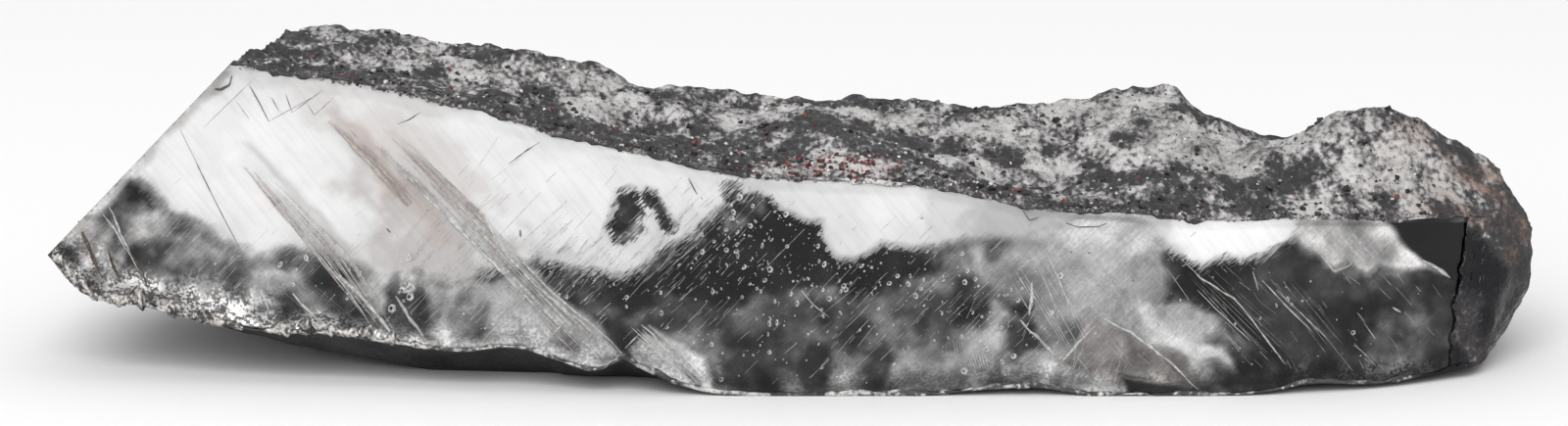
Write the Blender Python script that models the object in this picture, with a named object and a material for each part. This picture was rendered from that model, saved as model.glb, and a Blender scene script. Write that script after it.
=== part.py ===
"""A hand-sized slab of clear selenite under a dark crust, in metres, standing on +Z up.

The slab grew as one piece, so it is one solid. Its front is a flat cleavage face that looks
along -Y, its left end is a slanted cleavage face that leans over an open underside, its right
end is a rounded nose, and its top carries the humps and hollows of the crust.
A unit cube is cut into a grid, and every grid point (u, w, v) is moved to its place in the
slab: u runs from the left end to the right, w from the front to the back, v from the underside
to the top.
"""

import bmesh
import bpy
import numpy as np

MM = 0.001

# Driving dimensions, in millimetres. The origin is under the middle of the slab, on the table.
FRONT_Y = -31.2          # the flat middle of the front face
BACK_Y = 30.2            # the back edge, before its broken relief
LEFT_TURN = np.tan(np.radians(8.0))   # the left part of the front face turns back by 8 degrees
LEFT_TURN_X = -20.0      # where it starts to turn
NOSE_X = 52.0            # where the front and back start to curve in to the right end
NOSE_SPAN = 31.0
NOSE_BACK = 10.5         # how far the front has curved back after that span
BACK_DRAW_IN = 8.0       # how far the back edge has drawn in after it
BACK_WANDER = 0.7        # how far the back edge wanders on each side of its mean
BACK_WANDER_WAVE = 13.0
BACK_ROUNDING = 3.0      # how far the back's long edges are rounded off
ROUNDING_REACH, ROUNDING_HEIGHT = 6, 4   # powers: higher keeps the rounding closer to the edges
TIP_X, CORNER_X = -92.3, -68.6        # bottom and top of the slanted left end
HEEL_X, SHOULDER_X = 83.0, 85.0       # bottom and top of the right end, at its front
NOSE_BULGE = 8.4         # how far the nose stands out past those
NOSE_REACH = 10          # power: higher keeps the bulge closer to the right end
NOSE_FORWARD = 0.6       # power: under 1 brings the bulge's crown forward of the middle
NOSE_FOOT, NOSE_RISE = 0.15, 0.7      # share of a half wave at the nose's foot, and up its height
END_BACKSET = 4.0        # how far the left end leans to the right at its back
END_REACH = 4            # power: higher keeps that lean closer to the left end

# Heights (x, z) of the four long edges, in millimetres.
FRONT_TOP = [(-68.6, 40.3), (-61.5, 39.5), (-54, 38.4), (-48.6, 37.6), (-43.2, 36.2),
             (-37.4, 35.2), (-33.3, 33.8), (-27.8, 32.4), (-20.9, 30.7), (-16, 29.8), (-10.7, 28.4),
             (-5.7, 27.4), (-1, 27.2), (4.5, 26.9), (10.1, 26.7), (17.7, 26.1), (21.5, 25.4),
             (27.1, 24.2), (33.5, 23.4), (40.8, 23.0), (48.2, 22.2), (60.5, 22.2), (68, 21.6),
             (73.4, 20.7), (81.4, 20.2), (85, 19.4)]
BACK_TOP = [(-66, 36.9), (-56, 35.6), (-51, 34.6), (-42, 34.7), (-34, 33.2), (-27.5, 32.0),
            (-22.4, 29.8), (-15.8, 29.7), (-9, 28.3), (2.4, 28.3), (8, 27.2), (26, 26.7),
            (32.3, 27.4), (38.8, 29.1), (46.6, 30.2), (50.2, 29.6), (53, 26.6), (58, 24.8),
            (64, 23.8), (75, 23.0), (85, 19.0)]
FRONT_RIM = [(-92.3, 15.6), (-88.4, 11.4), (-80, 9.4), (-73.9, 7.9), (-63, 6.6), (-58, 6.7),
             (-49.5, 5.7), (-41, 4.9), (-34, 5.6), (-29, 4.1), (-24, 3.1), (-21.2, 4.5),
             (-19.2, 3.5), (-14.7, 1.5), (-11, 0.5), (-4, 0.0), (16, 0.1), (22.3, 0.7),
             (29.5, 1.0), (36, 0.0), (50, 0.0), (57, 0.4), (62, 1.2), (70.7, 0.7), (83, 1.4)]
KEEL = [(-92.3, 14.2), (-80, 8.2), (-68, 4.2), (-56, 1.4), (-46, 0.0), (72, 0.0), (83, 1.6)]
RIM_DEPTH = 12.0         # the underside falls from the front rim to the keel within this depth
KEEL_LIFTS = -46.0       # left of this the underside leaves the table
KEEL_RELIEF_SPAN = 8.0   # its broken relief grows to full size over this length
PIT_DEPTH, PIT_LEVEL, PIT_WAVE = 2.4, 0.9, 11.0   # shallow pits between the flats it rests on

# Humps and hollows of the top: x, y, half width along x, half width along y, height.
HUMPS = [
    (70.5, -6.0, 11.0, 12.0, 8.2),      # the sharp hump near the right end
    (82.0, -1.0, 9.0, 12.0, 3.2),       # its shoulder
    (5.0, -4.0, 7.0, 17.0, 1.5),        # the low ridge across the middle
    (28.0, -10.0, 11.0, 11.0, -2.6),    # the bowl behind the front edge
    (-34.0, -6.0, 30.0, 11.0, -1.7),    # the trough behind the left lip
    (-50.0, 20.0, 12.0, 8.0, 0.9),
]
TOP_RELIEF, BACK_RELIEF, END_RELIEF = 0.9, 1.4, 1.8   # broken relief of the crusted sides
BACK_REACH, NOSE_RELIEF_REACH = 4, 12   # powers: higher keeps the relief closer to that side
RELIEF_WAVE = 9.0        # its wavelength
TOP_SEED, KEEL_SEED, BACK_SEED, PIT_SEED, NOSE_SEED = 3, 5, 7, 9, 11
CRUST_STARTS = 0.12      # share of the depth over which the relief grows from the flat front

CELLS_U, CELLS_W, CELLS_V = 66, 20, 8
SAME_PLACE = 1e-4        # two ends closer than this, in cube sides, lie at the same place
SHARP_ANGLE = np.radians(40.0)        # edges that turn by more than this stay sharp
GYPSUM_COLOUR = (0.62, 0.61, 0.60, 1.0)
GYPSUM_ROUGHNESS = 0.25

# The noise mixes each lattice point's whole numbers with large primes and keeps the low bits.
MIX_X, MIX_Y, MIX_Z = 73856093, 19349663, 83492791
MIX_SEED, MIX_AGAIN = 2654435761, 1274126177
KEEP_LONG, KEEP_SHORT = 0xFFFFFFFF, 0xFFFF
SHIFT_FIRST, SHIFT_SECOND = 13, 16


def smooth_rail(points, x):
    """The height at x on a curve that runs smoothly through the points."""
    px, pz = np.array(points, float).T
    slope = np.gradient(pz, px)
    x = np.clip(x, px[0], px[-1])
    i = np.clip(np.searchsorted(px, x) - 1, 0, len(px) - 2)
    span = px[i + 1] - px[i]
    t = (x - px[i]) / span
    return ((2 * t**3 - 3 * t**2 + 1) * pz[i] + (t**3 - 2 * t**2 + t) * span * slope[i]
            + (3 * t**2 - 2 * t**3) * pz[i + 1] + (t**3 - t**2) * span * slope[i + 1])


def smooth_step(low, high, value):
    """0 below low, 1 above high, and a smooth S between them."""
    t = np.clip((value - low) / (high - low), 0, 1)
    return t * t * (3 - 2 * t)


def lattice_value(ix, iy, iz, seed):
    """A repeatable number from -1 to 1 for each whole-numbered lattice point."""
    mixed = (ix * MIX_X) ^ (iy * MIX_Y) ^ (iz * MIX_Z) ^ (seed * MIX_SEED)
    mixed = (mixed ^ (mixed >> SHIFT_FIRST)) * MIX_AGAIN & KEEP_LONG
    mixed = (mixed ^ (mixed >> SHIFT_SECOND)) & KEEP_SHORT
    return 2 * mixed / KEEP_SHORT - 1


def noise(x, y, z, wavelength, seed):
    """Smooth noise from -1 to 1: lattice values a wavelength apart, blended between them."""
    at = [np.asarray(c, float) / wavelength for c in (x, y, z)]
    cell = [np.floor(c).astype(np.int64) for c in at]
    part = [c - f for c, f in zip(at, cell)]
    part = [t**3 * (t * (6 * t - 15) + 10) for t in part]
    total = 0
    for corner in range(8):
        step = [corner & 1, corner >> 1 & 1, corner >> 2 & 1]
        weight = 1
        for t, s in zip(part, step):
            weight = weight * (t if s else 1 - t)
        total = total + weight * lattice_value(*(c + s for c, s in zip(cell, step)), seed)
    return total


def front_y(x):
    """The front face: flat in the middle, turned back on the left, curved back on the right."""
    left = np.maximum(LEFT_TURN_X - x, 0) * LEFT_TURN
    right = NOSE_BACK * (np.maximum(x - NOSE_X, 0) / NOSE_SPAN) ** 2
    return FRONT_Y + left + right


def back_y(x):
    """The back edge, which wanders a little and draws in towards the right end."""
    draw_in = BACK_DRAW_IN * (np.maximum(x - NOSE_X, 0) / NOSE_SPAN) ** 2
    return BACK_Y - BACK_WANDER * (1 - np.sin(x / BACK_WANDER_WAVE)) - draw_in


def top_height(x, y, across):
    """The top between its front and back edges, with the humps and the broken relief."""
    top = smooth_rail(FRONT_TOP, x) * (1 - across) + smooth_rail(BACK_TOP, x) * across
    for hump_x, hump_y, wide, deep, high in HUMPS:
        top = top + high * np.exp(-((x - hump_x) / wide) ** 2 - ((y - hump_y) / deep) ** 2)
    crusted = smooth_step(0.0, CRUST_STARTS, across)
    return top + TOP_RELIEF * crusted * noise(x, y, 0 * x, RELIEF_WAVE, TOP_SEED)


def bottom_height(x, y):
    """The underside: the front rim, then the keel with shallow pits, worn flat on the table."""
    behind = smooth_step(0.0, RIM_DEPTH, y - front_y(x))
    lifted = smooth_step(0.0, KEEL_RELIEF_SPAN, KEEL_LIFTS - x)
    rough = TOP_RELIEF * lifted * noise(x, y, 0 * x, RELIEF_WAVE, KEEL_SEED)
    keel = np.maximum(smooth_rail(KEEL, x) + rough, 0.0)
    pits = np.maximum(PIT_DEPTH * noise(x, y, 0 * x, PIT_WAVE, PIT_SEED) - PIT_LEVEL, 0.0)
    bottom = smooth_rail(FRONT_RIM, x) * (1 - behind) + (keel + pits) * behind
    return np.maximum(bottom, 0.0)


def slab_point(u, w, v):
    """Where the grid point (u, w, v) lies, in millimetres."""
    low_x = TIP_X + (HEEL_X - TIP_X) * u
    high_x = CORNER_X + (SHOULDER_X - CORNER_X) * u
    x = low_x + (high_x - low_x) * v
    front = front_y(x)
    back = back_y(x)
    rounding = BACK_ROUNDING * w**ROUNDING_REACH * (2 * v - 1) ** ROUNDING_HEIGHT
    y = front + (back - front) * w - rounding
    bottom = bottom_height(low_x, y)
    top = top_height(high_x, y, (y - front) / (back - front))
    z = bottom + (top - bottom) * v

    lean = END_BACKSET * w * (1 - u) ** END_REACH
    crown = np.sin(np.pi * w**NOSE_FORWARD) * np.sin(np.pi * (NOSE_FOOT + NOSE_RISE * v))
    nose = NOSE_BULGE * u**NOSE_REACH * crown
    crusted = smooth_step(0.0, CRUST_STARTS, w) * np.sin(np.pi * v)
    back_rough = BACK_RELIEF * w**BACK_REACH * noise(x, z, 0 * x, RELIEF_WAVE, BACK_SEED)
    y = y + crusted * back_rough
    nose_rough = END_RELIEF * u**NOSE_RELIEF_REACH * noise(y, z, 0 * x, RELIEF_WAVE, NOSE_SEED)
    x = x + lean + nose + crusted * nose_rough
    return x, y, z


def clear_scene():
    for thing in list(bpy.data.objects):
        bpy.data.objects.remove(thing)


def gypsum_material():
    material = bpy.data.materials.new("selenite")
    material.use_nodes = True
    shader = material.node_tree.nodes["Principled BSDF"]
    shader.inputs["Base Color"].default_value = GYPSUM_COLOUR
    shader.inputs["Roughness"].default_value = GYPSUM_ROUGHNESS
    shader.inputs["Metallic"].default_value = 0.0
    return material


def cut_cube():
    """A unit cube from 0 to 1, cut into a grid of cells along each of its three directions."""
    mesh = bmesh.new()
    side = 1.0
    bmesh.ops.create_cube(mesh, size=side)
    bmesh.ops.translate(mesh, verts=mesh.verts, vec=(side / 2, side / 2, side / 2))
    for axis, cells in enumerate((CELLS_U, CELLS_W, CELLS_V)):
        along = []
        for edge in mesh.edges:
            span = abs(edge.verts[0].co[axis] - edge.verts[1].co[axis])
            if span > SAME_PLACE:
                along.append(edge)
        bmesh.ops.subdivide_edges(mesh, edges=along, cuts=cells - 1, use_grid_fill=True)
    return mesh


def build_slab(collection):
    grid = cut_cube()
    corners = np.array([vertex.co for vertex in grid.verts])
    places = np.array(slab_point(*corners.T)).T * MM
    for vertex, place in zip(grid.verts, places):
        vertex.co = place
    mesh = bpy.data.meshes.new("selenite_slab")
    grid.to_mesh(mesh)
    grid.free()
    mesh.shade_smooth()
    mesh.set_sharp_from_angle(angle=SHARP_ANGLE)
    mesh.materials.append(gypsum_material())
    slab = bpy.data.objects.new("selenite_slab", mesh)
    collection.objects.link(slab)
    return slab


def main():
    clear_scene()
    collection = bpy.data.collections.new("proustite_in_selenite")
    bpy.context.scene.collection.children.link(collection)
    build_slab(collection)


main()
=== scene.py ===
import math

import bpy
import numpy as np
from mathutils import Matrix, Vector


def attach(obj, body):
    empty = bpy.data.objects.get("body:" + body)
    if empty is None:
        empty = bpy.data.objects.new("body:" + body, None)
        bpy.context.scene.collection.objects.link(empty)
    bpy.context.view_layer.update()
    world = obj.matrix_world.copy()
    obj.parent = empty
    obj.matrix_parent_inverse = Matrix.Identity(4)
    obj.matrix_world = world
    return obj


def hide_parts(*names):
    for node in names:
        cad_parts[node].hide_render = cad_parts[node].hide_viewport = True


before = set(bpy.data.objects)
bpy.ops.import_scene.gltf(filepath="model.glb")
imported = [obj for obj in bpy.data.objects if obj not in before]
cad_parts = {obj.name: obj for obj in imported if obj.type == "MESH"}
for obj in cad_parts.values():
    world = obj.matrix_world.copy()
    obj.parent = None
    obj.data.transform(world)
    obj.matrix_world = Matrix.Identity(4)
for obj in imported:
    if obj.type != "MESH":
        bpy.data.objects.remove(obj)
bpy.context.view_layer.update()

mm = 0.001
nodeName = "selenite_slab"

# the slab's own dimensions and edge heights (x, z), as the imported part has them
slab = {
    "frontY": -31.2, "backY": 30.2,
    "leftTurn": math.tan(math.radians(8.0)), "leftTurnX": -20.0,
    "noseX": 52.0, "noseSpan": 31.0, "noseBack": 10.5, "backDrawIn": 8.0,
    "backWander": 0.7, "backWanderWave": 13.0,
    "backRounding": 3.0, "roundingReach": 6, "roundingHeight": 4,
    "tipX": -92.3, "cornerX": -68.6, "heelX": 83.0, "shoulderX": 85.0,
    "noseBulge": 8.4, "noseReach": 10, "noseForward": 0.6, "noseFoot": 0.15, "noseRise": 0.7,
    "endBackset": 4.0, "endReach": 4,
    "frontTop": [(-68.6, 40.3), (-61.5, 39.5), (-54, 38.4), (-48.6, 37.6), (-43.2, 36.2),
                 (-37.4, 35.2), (-33.3, 33.8), (-27.8, 32.4), (-20.9, 30.7), (-16, 29.8),
                 (-10.7, 28.4), (-5.7, 27.4), (-1, 27.2), (4.5, 26.9), (10.1, 26.7), (17.7, 26.1),
                 (21.5, 25.4), (27.1, 24.2), (33.5, 23.4), (40.8, 23.0), (48.2, 22.2),
                 (60.5, 22.2), (68, 21.6), (73.4, 20.7), (81.4, 20.2), (85, 19.4)],
    "backTop": [(-66, 36.9), (-56, 35.6), (-51, 34.6), (-42, 34.7), (-34, 33.2), (-27.5, 32.0),
                (-22.4, 29.8), (-15.8, 29.7), (-9, 28.3), (2.4, 28.3), (8, 27.2), (26, 26.7),
                (32.3, 27.4), (38.8, 29.1), (46.6, 30.2), (50.2, 29.6), (53, 26.6), (58, 24.8),
                (64, 23.8), (75, 23.0), (85, 19.0)],
    "frontRim": [(-92.3, 15.6), (-88.4, 11.4), (-80, 9.4), (-73.9, 7.9), (-63, 6.6), (-58, 6.7),
                 (-49.5, 5.7), (-41, 4.9), (-34, 5.6), (-29, 4.1), (-24, 3.1), (-21.2, 4.5),
                 (-19.2, 3.5), (-14.7, 1.5), (-11, 0.5), (-4, 0.0), (16, 0.1), (22.3, 0.7),
                 (29.5, 1.0), (36, 0.0), (50, 0.0), (57, 0.4), (62, 1.2), (70.7, 0.7), (83, 1.4)],
    "keel": [(-92.3, 14.2), (-80, 8.2), (-68, 4.2), (-56, 1.4), (-46, 0.0), (72, 0.0), (83, 1.6)],
    "rimDepth": 12.0, "keelLifts": -46.0, "keelReliefSpan": 8.0,
    "pitDepth": 2.4, "pitLevel": 0.9, "pitWave": 11.0,
    "humps": [(70.5, -6.0, 11.0, 12.0, 8.2), (82.0, -1.0, 9.0, 12.0, 3.2),
              (5.0, -4.0, 7.0, 17.0, 1.5), (28.0, -10.0, 11.0, 11.0, -2.6),
              (-34.0, -6.0, 30.0, 11.0, -1.7), (-50.0, 20.0, 12.0, 8.0, 0.9)],
    "topRelief": 0.9, "backRelief": 1.4, "endRelief": 1.8, "reliefWave": 9.0,
    "backReach": 4, "noseReliefReach": 12, "crustStarts": 0.12,
    "topSeed": 3, "keelSeed": 5, "backSeed": 7, "pitSeed": 9, "noseSeed": 11,
}

# the photograph's viewpoint: a long lens, a little above the table
viewpoint = {
    "elevation": 10.0, "distance": 600.0, "target": (-1.54, -31.0, 22.6),
    "lens": 113.8, "sensor": 36.0,
}


# a smooth curve through the points: cubic pieces whose slopes are the neighbours' slopes
def smoothRail(points, x):
    px, pz = np.array(points, float).T
    slope = np.gradient(pz, px)
    x = np.clip(x, px[0], px[-1])
    i = np.clip(np.searchsorted(px, x) - 1, 0, len(px) - 2)
    span = px[i + 1] - px[i]
    t = (x - px[i]) / span
    return ((2 * t**3 - 3 * t**2 + 1) * pz[i] + (t**3 - 2 * t**2 + t) * span * slope[i]
            + (3 * t**2 - 2 * t**3) * pz[i + 1] + (t**3 - t**2) * span * slope[i + 1])


# 0 below low, 1 above high, and a smooth S between them
def smoothStep(low, high, value):
    t = np.clip((value - low) / (high - low), 0, 1)
    return t * t * (3 - 2 * t)


# a repeatable number from -1 to 1 for each whole-numbered lattice point
def latticeValue(ix, iy, iz, seed):
    mixed = (ix * 73856093) ^ (iy * 19349663) ^ (iz * 83492791) ^ (seed * 2654435761)
    mixed = (mixed ^ (mixed >> 13)) * 1274126177 & 0xFFFFFFFF
    mixed = (mixed ^ (mixed >> 16)) & 0xFFFF
    return mixed / 32767.5 - 1


# smooth noise from -1 to 1: lattice values a wavelength apart, blended between them
def noise(x, y, z, wavelength, seed):
    at = [np.asarray(c, float) / wavelength for c in (x, y, z)]
    cell = [np.floor(c).astype(np.int64) for c in at]
    part = [c - f for c, f in zip(at, cell)]
    part = [t**3 * (t * (6 * t - 15) + 10) for t in part]
    total = 0
    for corner in range(8):
        step = [corner & 1, corner >> 1 & 1, corner >> 2 & 1]
        weight = 1
        for t, s in zip(part, step):
            weight = weight * (t if s else 1 - t)
        total = total + weight * latticeValue(*(c + s for c, s in zip(cell, step)), seed)
    return total


# noise summed over octaves, each half the wavelength and half the height of the last
def fractal(x, y, z, wavelength, seed, octaves=4):
    total = 0
    for k in range(octaves):
        total = total + noise(x, y, z, wavelength / 2**k, seed + 31 * k) / 2**k
    return total


# the front face: flat in the middle, turned back on the left, curved back on the right
def frontY(x):
    left = np.maximum(slab["leftTurnX"] - x, 0) * slab["leftTurn"]
    right = slab["noseBack"] * (np.maximum(x - slab["noseX"], 0) / slab["noseSpan"]) ** 2
    return slab["frontY"] + left + right


# the back edge: a slow wave that draws in towards the right end
def backY(x):
    drawIn = slab["backDrawIn"] * (np.maximum(x - slab["noseX"], 0) / slab["noseSpan"]) ** 2
    wander = slab["backWander"] * (1 - np.sin(x / slab["backWanderWave"]))
    return slab["backY"] - wander - drawIn


# the top: straight between its front and back edge heights, plus round humps and noise
def topHeight(x, y, across):
    top = smoothRail(slab["frontTop"], x) * (1 - across) + smoothRail(slab["backTop"], x) * across
    for humpX, humpY, wide, deep, high in slab["humps"]:
        top = top + high * np.exp(-((x - humpX) / wide) ** 2 - ((y - humpY) / deep) ** 2)
    crusted = smoothStep(0.0, slab["crustStarts"], across)
    return top + slab["topRelief"] * crusted * noise(x, y, 0 * x, slab["reliefWave"], slab["topSeed"])


# the underside: the front rim, then the keel with shallow pits, never below the table
def bottomHeight(x, y):
    behind = smoothStep(0.0, slab["rimDepth"], y - frontY(x))
    lifted = smoothStep(0.0, slab["keelReliefSpan"], slab["keelLifts"] - x)
    rough = slab["topRelief"] * lifted * noise(x, y, 0 * x, slab["reliefWave"], slab["keelSeed"])
    keel = np.maximum(smoothRail(slab["keel"], x) + rough, 0.0)
    pits = slab["pitDepth"] * noise(x, y, 0 * x, slab["pitWave"], slab["pitSeed"])
    pits = np.maximum(pits - slab["pitLevel"], 0.0)
    bottom = smoothRail(slab["frontRim"], x) * (1 - behind) + (keel + pits) * behind
    return np.maximum(bottom, 0.0)


# where the slab's grid point lies: u from left to right, w from front to back, v upwards
def slabPoint(u, w, v):
    lowX = slab["tipX"] + (slab["heelX"] - slab["tipX"]) * u
    highX = slab["cornerX"] + (slab["shoulderX"] - slab["cornerX"]) * u
    x = lowX + (highX - lowX) * v
    front = frontY(x)
    back = backY(x)
    rounding = slab["backRounding"] * w**slab["roundingReach"]
    y = front + (back - front) * w - rounding * (2 * v - 1) ** slab["roundingHeight"]
    bottom = bottomHeight(lowX, y)
    top = topHeight(highX, y, (y - front) / (back - front))
    z = bottom + (top - bottom) * v

    lean = slab["endBackset"] * w * (1 - u) ** slab["endReach"]
    crown = np.sin(np.pi * w**slab["noseForward"])
    crown = crown * np.sin(np.pi * (slab["noseFoot"] + slab["noseRise"] * v))
    nose = slab["noseBulge"] * u**slab["noseReach"] * crown
    crusted = smoothStep(0.0, slab["crustStarts"], w) * np.sin(np.pi * v)
    wave = slab["reliefWave"]
    backRough = slab["backRelief"] * w**slab["backReach"] * noise(x, z, 0 * x, wave, slab["backSeed"])
    y = y + crusted * backRough
    endRough = slab["endRelief"] * u**slab["noseReliefReach"]
    x = x + lean + nose + crusted * endRough * noise(y, z, 0 * x, wave, slab["noseSeed"])
    return np.stack([x, y, z], -1)


# how the straight part of the front shows a point: across and up the picture, in millimetres
# at the front face, seen from the viewpoint's elevation through a given depth of crystal
def seenFrom(place, depth):
    x, y, z = np.moveaxis(place, -1, 0)
    rise = math.radians(viewpoint["elevation"])
    index = 1.52
    inside = math.asin(math.sin(rise) / index)
    x = x - depth * (x - viewpoint["target"][0]) / viewpoint["distance"] / index
    z = z + depth * math.tan(inside)
    away = y - depth - slab["frontY"]
    shrink = viewpoint["distance"] / (viewpoint["distance"] + away * math.cos(rise))
    across = x * shrink
    up = (z * math.cos(rise) + away * math.sin(rise)) * shrink
    return across, up


# signed distance in millimetres to a closed outline, positive inside it
def insideBy(outline, x, z):
    points = np.array(outline, float)
    nearest = np.full(x.shape, 1e9)
    inside = np.zeros(x.shape, bool)
    for (ax, az), (bx, bz) in zip(points, np.roll(points, -1, 0)):
        dx, dz = bx - ax, bz - az
        t = np.clip(((x - ax) * dx + (z - az) * dz) / (dx * dx + dz * dz + 1e-9), 0, 1)
        nearest = np.minimum(nearest, np.hypot(x - ax - t * dx, z - az - t * dz))
        crosses = ((az > z) != (bz > z)) & (x < dx * (z - az) / (dz + 1e-12 * (dz == 0)) + ax)
        inside ^= crosses
    return np.where(inside, nearest, -nearest)


# a mesh from points in millimetres and faces, turned right way out by its signed volume
def makeMesh(name, points, faces, paint=None, smooth=True):
    points = np.asarray(points, float).reshape(-1, 3)
    mesh = bpy.data.meshes.new(name)
    mesh.from_pydata((points * mm).tolist(), [], faces)
    mesh.update()
    corners = np.zeros(len(mesh.loops), np.int32)
    mesh.loops.foreach_get("vertex_index", corners)
    mesh.calc_loop_triangles()
    triangles = np.zeros(len(mesh.loop_triangles) * 3, np.int32)
    mesh.loop_triangles.foreach_get("vertices", triangles)
    a, b, c = points[triangles].reshape(-1, 3, 3).transpose(1, 0, 2)
    if np.einsum("ij,ij->i", a, np.cross(b, c)).sum() < 0:
        mesh.flip_normals()
    for layerName, values in (paint or {}).items():
        layer = mesh.color_attributes.new(layerName, "FLOAT_COLOR", "POINT")
        rgba = np.ones((len(points), 4), np.float32)
        rgba[:, :3] = np.asarray(values).reshape(-1, 3)
        layer.data.foreach_set("color", rgba.ravel())
    if smooth:
        mesh.shade_smooth()
    piece = bpy.data.objects.new(name, mesh)
    bpy.context.scene.collection.objects.link(piece)
    return piece


# quads between neighbouring rings of a tube whose rings are closed
def tubeFaces(rings, around):
    i, j = np.meshgrid(np.arange(rings - 1), np.arange(around), indexing="ij")
    k = (j + 1) % around
    quads = np.stack([i * around + j, i * around + k, (i + 1) * around + k, (i + 1) * around + j], -1)
    return quads.reshape(-1, 4).tolist()


# a closed tube from rings of points; each end is closed by a pole in its middle, or by one flat face
def closeTube(points, startPole=True, endPole=True):
    rings, around, _ = points.shape
    faces = tubeFaces(rings, around)
    flat = points.reshape(-1, 3)
    last = (rings - 1) * around
    if startPole:
        faces += [[len(flat), (j + 1) % around, j] for j in range(around)]
        flat = np.vstack([flat, points[0].mean(0)])
    else:
        faces.append(list(range(around))[::-1])
    if endPole:
        faces += [[len(flat), last + j, last + (j + 1) % around] for j in range(around)]
        flat = np.vstack([flat, points[-1].mean(0)])
    else:
        faces.append(list(range(last, last + around)))
    return flat, faces


# points along a path of straight legs, with a chosen number of steps on each leg
def walkPath(corners, steps):
    legs = []
    for k, count in enumerate(steps):
        t = np.arange(count)[:, None] / count
        a, b = np.array(corners[k], float), np.array(corners[(k + 1) % len(corners)], float)
        legs.append(a + (b - a) * t)
    return np.vstack(legs)


def finishPiece(piece, material):
    piece.data.materials.append(material)
    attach(piece, "root")
    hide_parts(nodeName)
    print("made", piece.name, len(piece.data.polygons), "faces")
    return piece


def addNode(tree, kind, place=(0, 0), **settings):
    node = tree.nodes.new(kind)
    node.location = place
    for key, value in settings.items():
        setattr(node, key, value)
    return node


def newMaterial(name, **values):
    material = bpy.data.materials.new(name)
    material.use_nodes = True
    shader = material.node_tree.nodes["Principled BSDF"]
    for key, value in values.items():
        shader.inputs[key].default_value = value
    return material, material.node_tree, shader


# fine grain: two sizes of noise, one salt and pepper, one soft, over the piece's own place
def makeGrainGroup():
    group = bpy.data.node_groups.new("fineGrain", "ShaderNodeTree")
    for name, value in (("Coarse", 500.0), ("Fine", 2200.0), ("Contrast", 4.0), ("Depthwise", 1.0),
                        ("Fine Weight", 1.0)):
        socket = group.interface.new_socket(name, in_out="INPUT", socket_type="NodeSocketFloat")
        socket.default_value = value
    for name in ("Mask", "Height"):
        group.interface.new_socket(name, in_out="OUTPUT", socket_type="NodeSocketFloat")
    start = addNode(group, "NodeGroupInput", (-900, 0))
    end = addNode(group, "NodeGroupOutput", (500, 0))
    place = addNode(group, "ShaderNodeTexCoord", (-900, 260))
    coarse = addNode(group, "ShaderNodeTexNoise", (-650, 200))
    fine = addNode(group, "ShaderNodeTexNoise", (-650, -80))
    coarse.inputs["Detail"].default_value = 5.0
    fine.inputs["Detail"].default_value = 2.0
    away = addNode(group, "ShaderNodeMath", (-560, -240), operation="SUBTRACT")
    away.inputs[1].default_value = 0.5
    mixed = addNode(group, "ShaderNodeMath", (-480, 60), operation="MULTIPLY_ADD")
    both = addNode(group, "ShaderNodeMath", (-400, 60), operation="ADD")
    both.inputs[1].default_value = 0.5
    centred = addNode(group, "ShaderNodeMath", (-220, 60), operation="SUBTRACT")
    centred.inputs[1].default_value = 1.0
    spread = addNode(group, "ShaderNodeMath", (-40, 60), operation="MULTIPLY_ADD", use_clamp=True)
    spread.inputs[2].default_value = 0.5
    scales = addNode(group, "ShaderNodeCombineXYZ", (-900, 480))
    scales.inputs["X"].default_value = 1.0
    scales.inputs["Z"].default_value = 1.0
    drawn = addNode(group, "ShaderNodeVectorMath", (-780, 360), operation="MULTIPLY")
    link = group.links.new
    link(start.outputs["Depthwise"], scales.inputs["Y"])
    link(place.outputs["Object"], drawn.inputs[0])
    link(scales.outputs["Vector"], drawn.inputs[1])
    link(drawn.outputs["Vector"], coarse.inputs["Vector"])
    link(drawn.outputs["Vector"], fine.inputs["Vector"])
    link(start.outputs["Coarse"], coarse.inputs["Scale"])
    link(start.outputs["Fine"], fine.inputs["Scale"])
    link(fine.outputs["Fac"], away.inputs[0])
    link(away.outputs[0], mixed.inputs[0])
    link(start.outputs["Fine Weight"], mixed.inputs[1])
    link(coarse.outputs["Fac"], mixed.inputs[2])
    link(mixed.outputs[0], both.inputs[0])
    link(both.outputs[0], centred.inputs[0])
    link(centred.outputs[0], spread.inputs[0])
    link(start.outputs["Contrast"], spread.inputs[1])
    link(spread.outputs[0], end.inputs["Mask"])
    link(both.outputs[0], end.inputs["Height"])
    return group


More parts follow.
